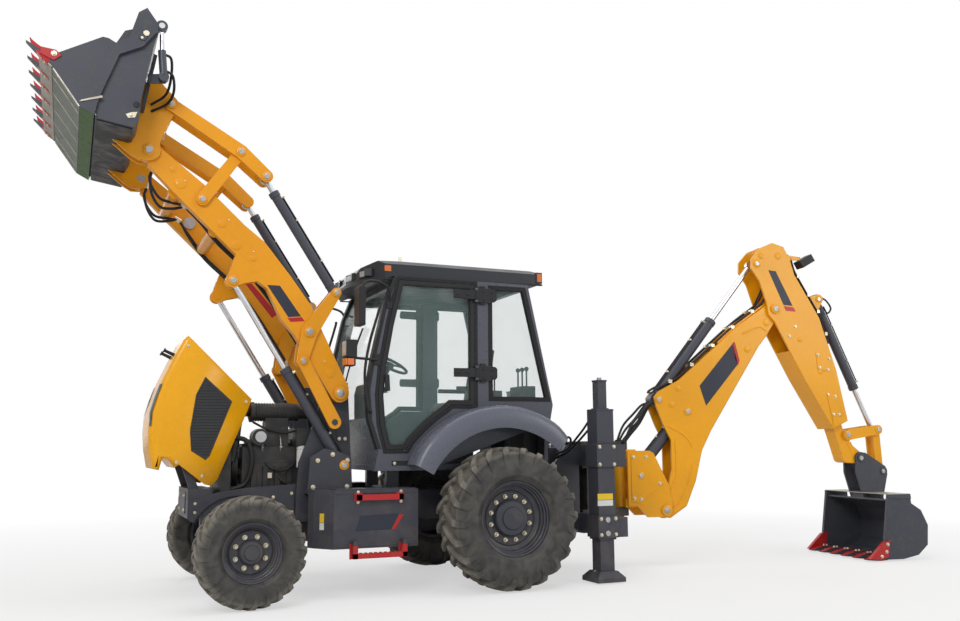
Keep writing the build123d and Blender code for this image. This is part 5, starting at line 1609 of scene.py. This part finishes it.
# ------------------------------------------------------------------ boom
# A tapered box boom with cast ends. Each side has a blank dark panel with a red end, raised weld lines
# and round bosses, and hoses run up its top in clamps.
BOOM_PANEL = ((973, 1997), (1426, 2500), (1481, 2256), (1047, 1766))
BOOM_PANEL_END = ((1420, 2500), (1452, 2520), (1505, 2301), (1484, 2245), (1442, 2320))
BOOM_TOP_LINE = ((415, 1905), (457, 1948), (712, 2076), (974, 2287), (1512, 2732), (1850, 2968))
boom = Form()
for side in (1, -1):
    boom.tint = 1
    boom.plate(behind(BOOM_PANEL), side * 124, side * 126.6)
    boom.tint = 2
    boom.plate(behind(BOOM_PANEL_END), side * 124, side * 126.6)
    boom.tint = 0
    for s, z, r in ((1608, 2434, 40), (611, 1778, 36), (1880, 2760, 44), (700, 1960, 34), (560, 700, 40)):
        boom.boss((SWING_X - s, side * 125, z), (0, side, 0), r, 5)
    for line in (
        ((557, 1537), (715, 1457), (829, 1350), (842, 1296)),
        ((535, 591), (655, 692), (765, 873), (848, 1110)), ((640, 1390), (640, 1041), (590, 880), (470, 730)),
        ((1560, 2620), (1780, 2700), (1880, 2650)),
    ):
        back_hose(boom, [(s, side * 124, z) for s, z in line], 9)
    boom.tint = 3
    for k, y in ((0, 58), (1, 88)):
        back_hose(boom, [(s, side * y, z + 14) for s, z in BOOM_TOP_LINE], 11)
        back_hose(
            boom,
            [
                (1850, side * y, 2982), (1930, side * y * 1.1, 3080 + k * 30),
                (1985, side * y * 1.2, 3190 + k * 20), (1992, side * y, 3260),
            ],
            11,
        )
    boom.tint = 4
    for s, z in ((620, 2031), (900, 2228), (1180, 2458), (1450, 2681), (1720, 2878)):
        boom.block(SWING_X - s - 22, SWING_X - s + 22, side * 42, side * 104, z - 6, z + 34)
        boom.bolt((SWING_X - s, side * 73, z + 34), (0, 0, 1), 15, 7)
boom.make(
    "boom_fittings", [boom_yellow, dark_vinyl, safety_red, hose_black, zinc], "boom", bevel=1.5, matrix=SWUNG
)


# ------------------------------------------------------------------ dipper and stick
# The dipper is a box with a sliding stick in it, guided by bolted wear plates, with a collar round its
# mouth, a work lamp on a bracket, and pipes clamped down its back beside the bucket cylinder.
DIPPER_PANEL = ((1923, 3389), (2024, 3379), (2229, 2964), (2105, 2971))
DIPPER_PANEL_END = ((2104, 2960), (2241, 2947), (2267, 2896), (2133, 2903))
dipper = Form()
for side in (1, -1):
    dipper.tint = 1
    dipper.plate(behind(DIPPER_PANEL), side * 159, side * 161.6)
    dipper.tint = 2
    dipper.plate(behind(DIPPER_PANEL_END), side * 159, side * 161.6)
    dipper.tint = 0
    for s, z, r in ((2061, 3568, 40), (1830, 3560, 34), (2300, 2560, 30), (2552, 2180, 34)):
        dipper.boss((SWING_X - s, side * 160, z), (0, side, 0), r, 6)
    for plate in (
        ((2502, 2406), (2709, 2352), (2681, 2181), (2521, 2207)),
        ((2615, 1926), (2759, 1899), (2805, 1646), (2676, 1646)),
        ((2676, 1640), (2874, 1672), (2884, 1600), (2692, 1512)),
    ):
        dipper.plate(behind(plate), side * 158, side * 168)
    dipper.tint = 3
    for s, z in (
        (2530, 2380), (2680, 2335), (2660, 2205), (2545, 2228), (2640, 1905), (2735, 1885), (2775, 1670),
        (2700, 1668), (2162, 2597), (2249, 2713),
    ):
        dipper.bolt((SWING_X - s, side * 167 if z < 2500 else side * 160, z), (0, side, 0), 25, 11)
    dipper.tint = 4
    for k, y in ((0, 112), (1, 138)):
        back_hose(
            dipper,
            [
                (2000, side * y, 3240), (2060, side * y, 3420), (2150, side * y * 0.9, 3590),
                (2240, side * y, 3560), (2296, side * y, 3390), (2420, side * y, 3170),
                (2601, side * y, 2860), (2660, side * y, 2650), (2700, side * y, 2520),
            ],
            10,
        )
    dipper.tint = 3
    for s, z in ((2330, 3330), (2460, 3110), (2580, 2910), (2668, 2640)):
        dipper.block(SWING_X - s - 22, SWING_X - s + 12, side * 96, side * 154, z - 20, z + 20)
dipper.tint = 5
dipper.plate(behind([(2336, 3512), (2500, 3606), (2549, 3525), (2383, 3431)]), 56, 194)
dipper.tint = 6
dipper.plate(behind([(2502, 3604), (2547, 3529), (2553, 3532), (2508, 3607)]), 66, 184)
dipper.make(
    "dipper_fittings", [boom_yellow, dark_vinyl, safety_red, zinc, hose_black, black_trim, clear_lens],
    "dipper", bevel=2.0, matrix=SWUNG,
)

reach = Form()
for side in (1, -1):
    back_hose(
        reach,
        [
            (2690, side * 96, 2980), (2740, side * 100, 2900), (2800, side * 90, 2960),
            (2760, side * 74, 3050), (2700, side * 70, 3090),
        ],
        11,
    )
    reach.tint = 1
    reach.plate(behind([(2900, 1330), (2960, 1345), (3040, 1180), (2985, 1165)]), side * 94, side * 99)
    reach.tint = 0
reach.make("stick_fittings", [hose_black, boom_yellow], "stick", bevel=1.5, matrix=SWUNG)

# columns: body, base pin, rod eye, tube radius, tube length, rod radius; all behind the swing pin
BACK_CYLINDERS = (
    ("boom_ram_tube", (175.0, 985.0), (810.0, 1700.0), 68.0, 730.0, 39.0),
    ("dipper_ram_tube", (455.0, 1835.0), (1772.0, 3461.0), 62.0, 1215.0, 35.0),
    ("bucket_ram_tube", (2644.0, 3073.0), (3335.0, 1490.0), 52.0, 1190.0, 31.0),
)
for body, base, eye, r, length, rod_r in BACK_CYLINDERS:
    trim = Form()
    lines = ((22, 1.0), (-22, 1.0)) if body != "boom_ram_tube" else ((18, 1.0),)
    cylinder_trim(trim, behind([base])[0], behind([eye])[0], 0.0, r, length, rod_r, lines)
    trim.make(f"{body}_trim", [slate, hose_black, zinc], body, matrix=SWUNG)


# ------------------------------------------------------------------ backhoe bucket
# A slate digging bucket with ears for its quick coupler, red bolted teeth and side cutters, wear bars
# under the floor, and a bare rubbed lip.
bucket = Form()
CUTTER = ((2990, 60), (3020, 230), (2945, 215), (2750, 34), (2900, 24))
# stations of a tooth: distance behind the swing pin, low, high, half width
TOOTH = ((3000, 14, 73, 49), (2905, 8, 74, 49), (2830, 12, 54, 42), (2765, 16, 34, 26), (2734, 20, 27, 12))
for i in range(6):
    y = -590 + 60 + i * 212
    bucket.tint = 0
    bucket.loft(
        *[
            [
                (SWING_X - s, y - w, low), (SWING_X - s, y + w, low), (SWING_X - s, y + w * 0.85, high),
                (SWING_X - s, y - w * 0.85, high),
            ] for s,
            low, high, w in TOOTH
        ]
    )
    bucket.tint = 2
    for s in (2935, 2975):
        bucket.bolt((SWING_X - s, y, 73), (0, 0, 1), 24, 12)
bucket.tint = 0
bucket.plate(behind([(2994, 10), (2994, 44), (2912, 44), (2880, 26), (2900, 10)]), -560, 560)
for side in (1, -1):
    bucket.tint = 0
    bucket.plate(behind(inset(CUTTER, -2.5)), side * 562, side * 611)
    bucket.tint = 2
    for s, z in ((2985, 190), (2965, 110), (2900, 60)):
        bucket.bolt((SWING_X - s, side * 611, z), (0, side, 0), 26, 12)
    bucket.tint = 3
    bucket.plate(behind([(3040, 745), (3342, 745), (3346, 690), (3040, 700)]), side * 588, side * 600)
    bucket.plate(behind([(2962, 230), (2980, 226), (3058, 700), (3042, 745)]), side * 560, side * 596)
    for s in (3110, 3260):
        bucket.plate(behind([(s, 745), (s + 60, 745), (s + 90, 660), (s + 60, 640)]), side * 100, side * 130)
bucket.tint = 3
for y in (-420, -140, 140, 420):
    bucket.plate(
        behind(
            [
                (3199, 12), (3404, 50), (3543, 166), (3563, 390), (3484, 570), (3470, 556), (3550, 388),
                (3530, 174), (3400, 62), (3199, 22),
            ]
        ),
        y - 30, y + 30,
    )
bucket.tint = 1
bucket.plate(behind([(3040, 742), (3342, 742), (3342, 750), (3040, 750)]), -588, 588)
bucket.make(
    "bucket_fittings", [safety_red, worn_edge, zinc, worn_slate], "backhoe_bucket", bevel=2.0, matrix=SWUNG
)


# ------------------------------------------------------------------ floor, light and camera
# A pale studio floor that runs into a white backdrop, large soft lamps, and a camera ahead of the
# machine's left front corner, low down.
FLOOR_HALF = 120.0


def pale_floor():
    coat = Coat("pale floor")
    soft = coat.noise(0.35, 2.0)
    path = coat.node("LightPath", {}, {}, 0)
    coat.finish(Base_Color=coat.blend(soft, rgb(0.80, 0.80, 0.80), rgb(0.83, 0.83, 0.83)), Roughness=0.8)
    glow = coat.node("Emission", {}, {"Color": rgb(1.0, 1.0, 1.0), "Strength": 1.0})
    across, along = coat.axis(0), coat.axis(1)
    distance = (across * across + along * along).root()
    fade = coat.step(distance, 3.5, 11.0)
    mixed = coat.node(
        "MixShader", {}, {0: path * (fade * 0.45 + 0.55), 1: Shade(coat, coat.shader.outputs[0]), 2: glow}
    )
    coat.tree.links.new(mixed.socket, coat.tree.nodes["Material Output"].inputs["Surface"])
    return coat


floor_mesh = bpy.data.meshes.new("floor")
floor_corners = [(x * FLOOR_HALF, y * FLOOR_HALF, 0) for x, y in ((-1, -1), (1, -1), (1, 1), (-1, 1))]
floor_mesh.from_pydata(floor_corners, [], [(0, 1, 2, 3)])
floor_mesh.materials.append(pale_floor().material)
floor = bpy.data.objects.new("floor", floor_mesh)
bpy.context.scene.collection.objects.link(floor)
floor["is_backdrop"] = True

world = bpy.data.worlds.new("backdrop")
bpy.context.scene.world = world
world.use_nodes = True
sky = world.node_tree.nodes
backdrop = sky["Background"]
seen = sky.new("ShaderNodeLightPath")
level = sky.new("ShaderNodeMapRange")
DAY_LEVEL, BACKDROP_LEVEL = 0.40, 1.0
level.inputs["To Min"].default_value = DAY_LEVEL
level.inputs["To Max"].default_value = BACKDROP_LEVEL
shown = seen.outputs["Is Camera Ray"]
for ray in ("Is Glossy Ray", "Is Transmission Ray"):
    either = sky.new("ShaderNodeMath")
    either.operation = "MAXIMUM"
    world.node_tree.links.new(shown, either.inputs[0])
    world.node_tree.links.new(seen.outputs[ray], either.inputs[1])
    shown = either.outputs[0]
world.node_tree.links.new(shown, level.inputs["Value"])
world.node_tree.links.new(level.outputs[0], backdrop.inputs["Strength"])
backdrop.inputs["Color"].default_value = rgb(1.0, 1.0, 1.0)

# columns: name, place, width, height, watts, all in metres; each lamp faces the middle of the machine
LAMPS = (
    ("key lamp", (7.5, 9.5, 8.5), 5.0, 4.0, 620.0),
    ("fill lamp", (-8.5, 9.0, 5.0), 5.0, 4.0, 230.0),
    ("top lamp", (-0.5, 1.0, 10.5), 8.0, 5.0, 300.0),
    ("far lamp", (2.0, -9.5, 6.5), 6.0, 4.0, 200.0),
)
MIDDLE = Vector((-0.4, 0.0, 1.9))
for name, place, width, height, watts in LAMPS:
    light = bpy.data.lights.new(name, "AREA")
    light.shape = "RECTANGLE"
    light.size, light.size_y, light.energy = width, height, watts
    lamp = bpy.data.objects.new(name, light)
    lamp.location = place
    lamp.rotation_euler = (MIDDLE - Vector(place)).to_track_quat("-Z", "Y").to_euler()
    bpy.context.scene.collection.objects.link(lamp)
    lamp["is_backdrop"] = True

# the camera: turned from the machine's side by yaw, looking up by pitch, and tilted by roll
YAW, PITCH, ROLL = radians(23.67), radians(8.27), radians(-0.38)
CAMERA_AT = (3.826, 9.182, 1.318)
ahead = Vector((-sin(YAW) * cos(PITCH), -cos(YAW) * cos(PITCH), sin(PITCH)))
right = ahead.cross(Vector((0, 0, 1))).normalized()
over = right.cross(ahead)
right, over = cos(ROLL) * right + sin(ROLL) * over, -sin(ROLL) * right + cos(ROLL) * over
lens = bpy.data.cameras.new("camera")
lens.lens, lens.sensor_width = 35.1, 36.0
camera = bpy.data.objects.new("camera", lens)
camera.matrix_world = Matrix.Translation(CAMERA_AT) @ Matrix((right, over, -ahead)).transposed().to_4x4()
bpy.context.scene.collection.objects.link(camera)
bpy.context.scene.camera = camera
bpy.context.scene.view_settings.view_transform = "Standard"

low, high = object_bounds()
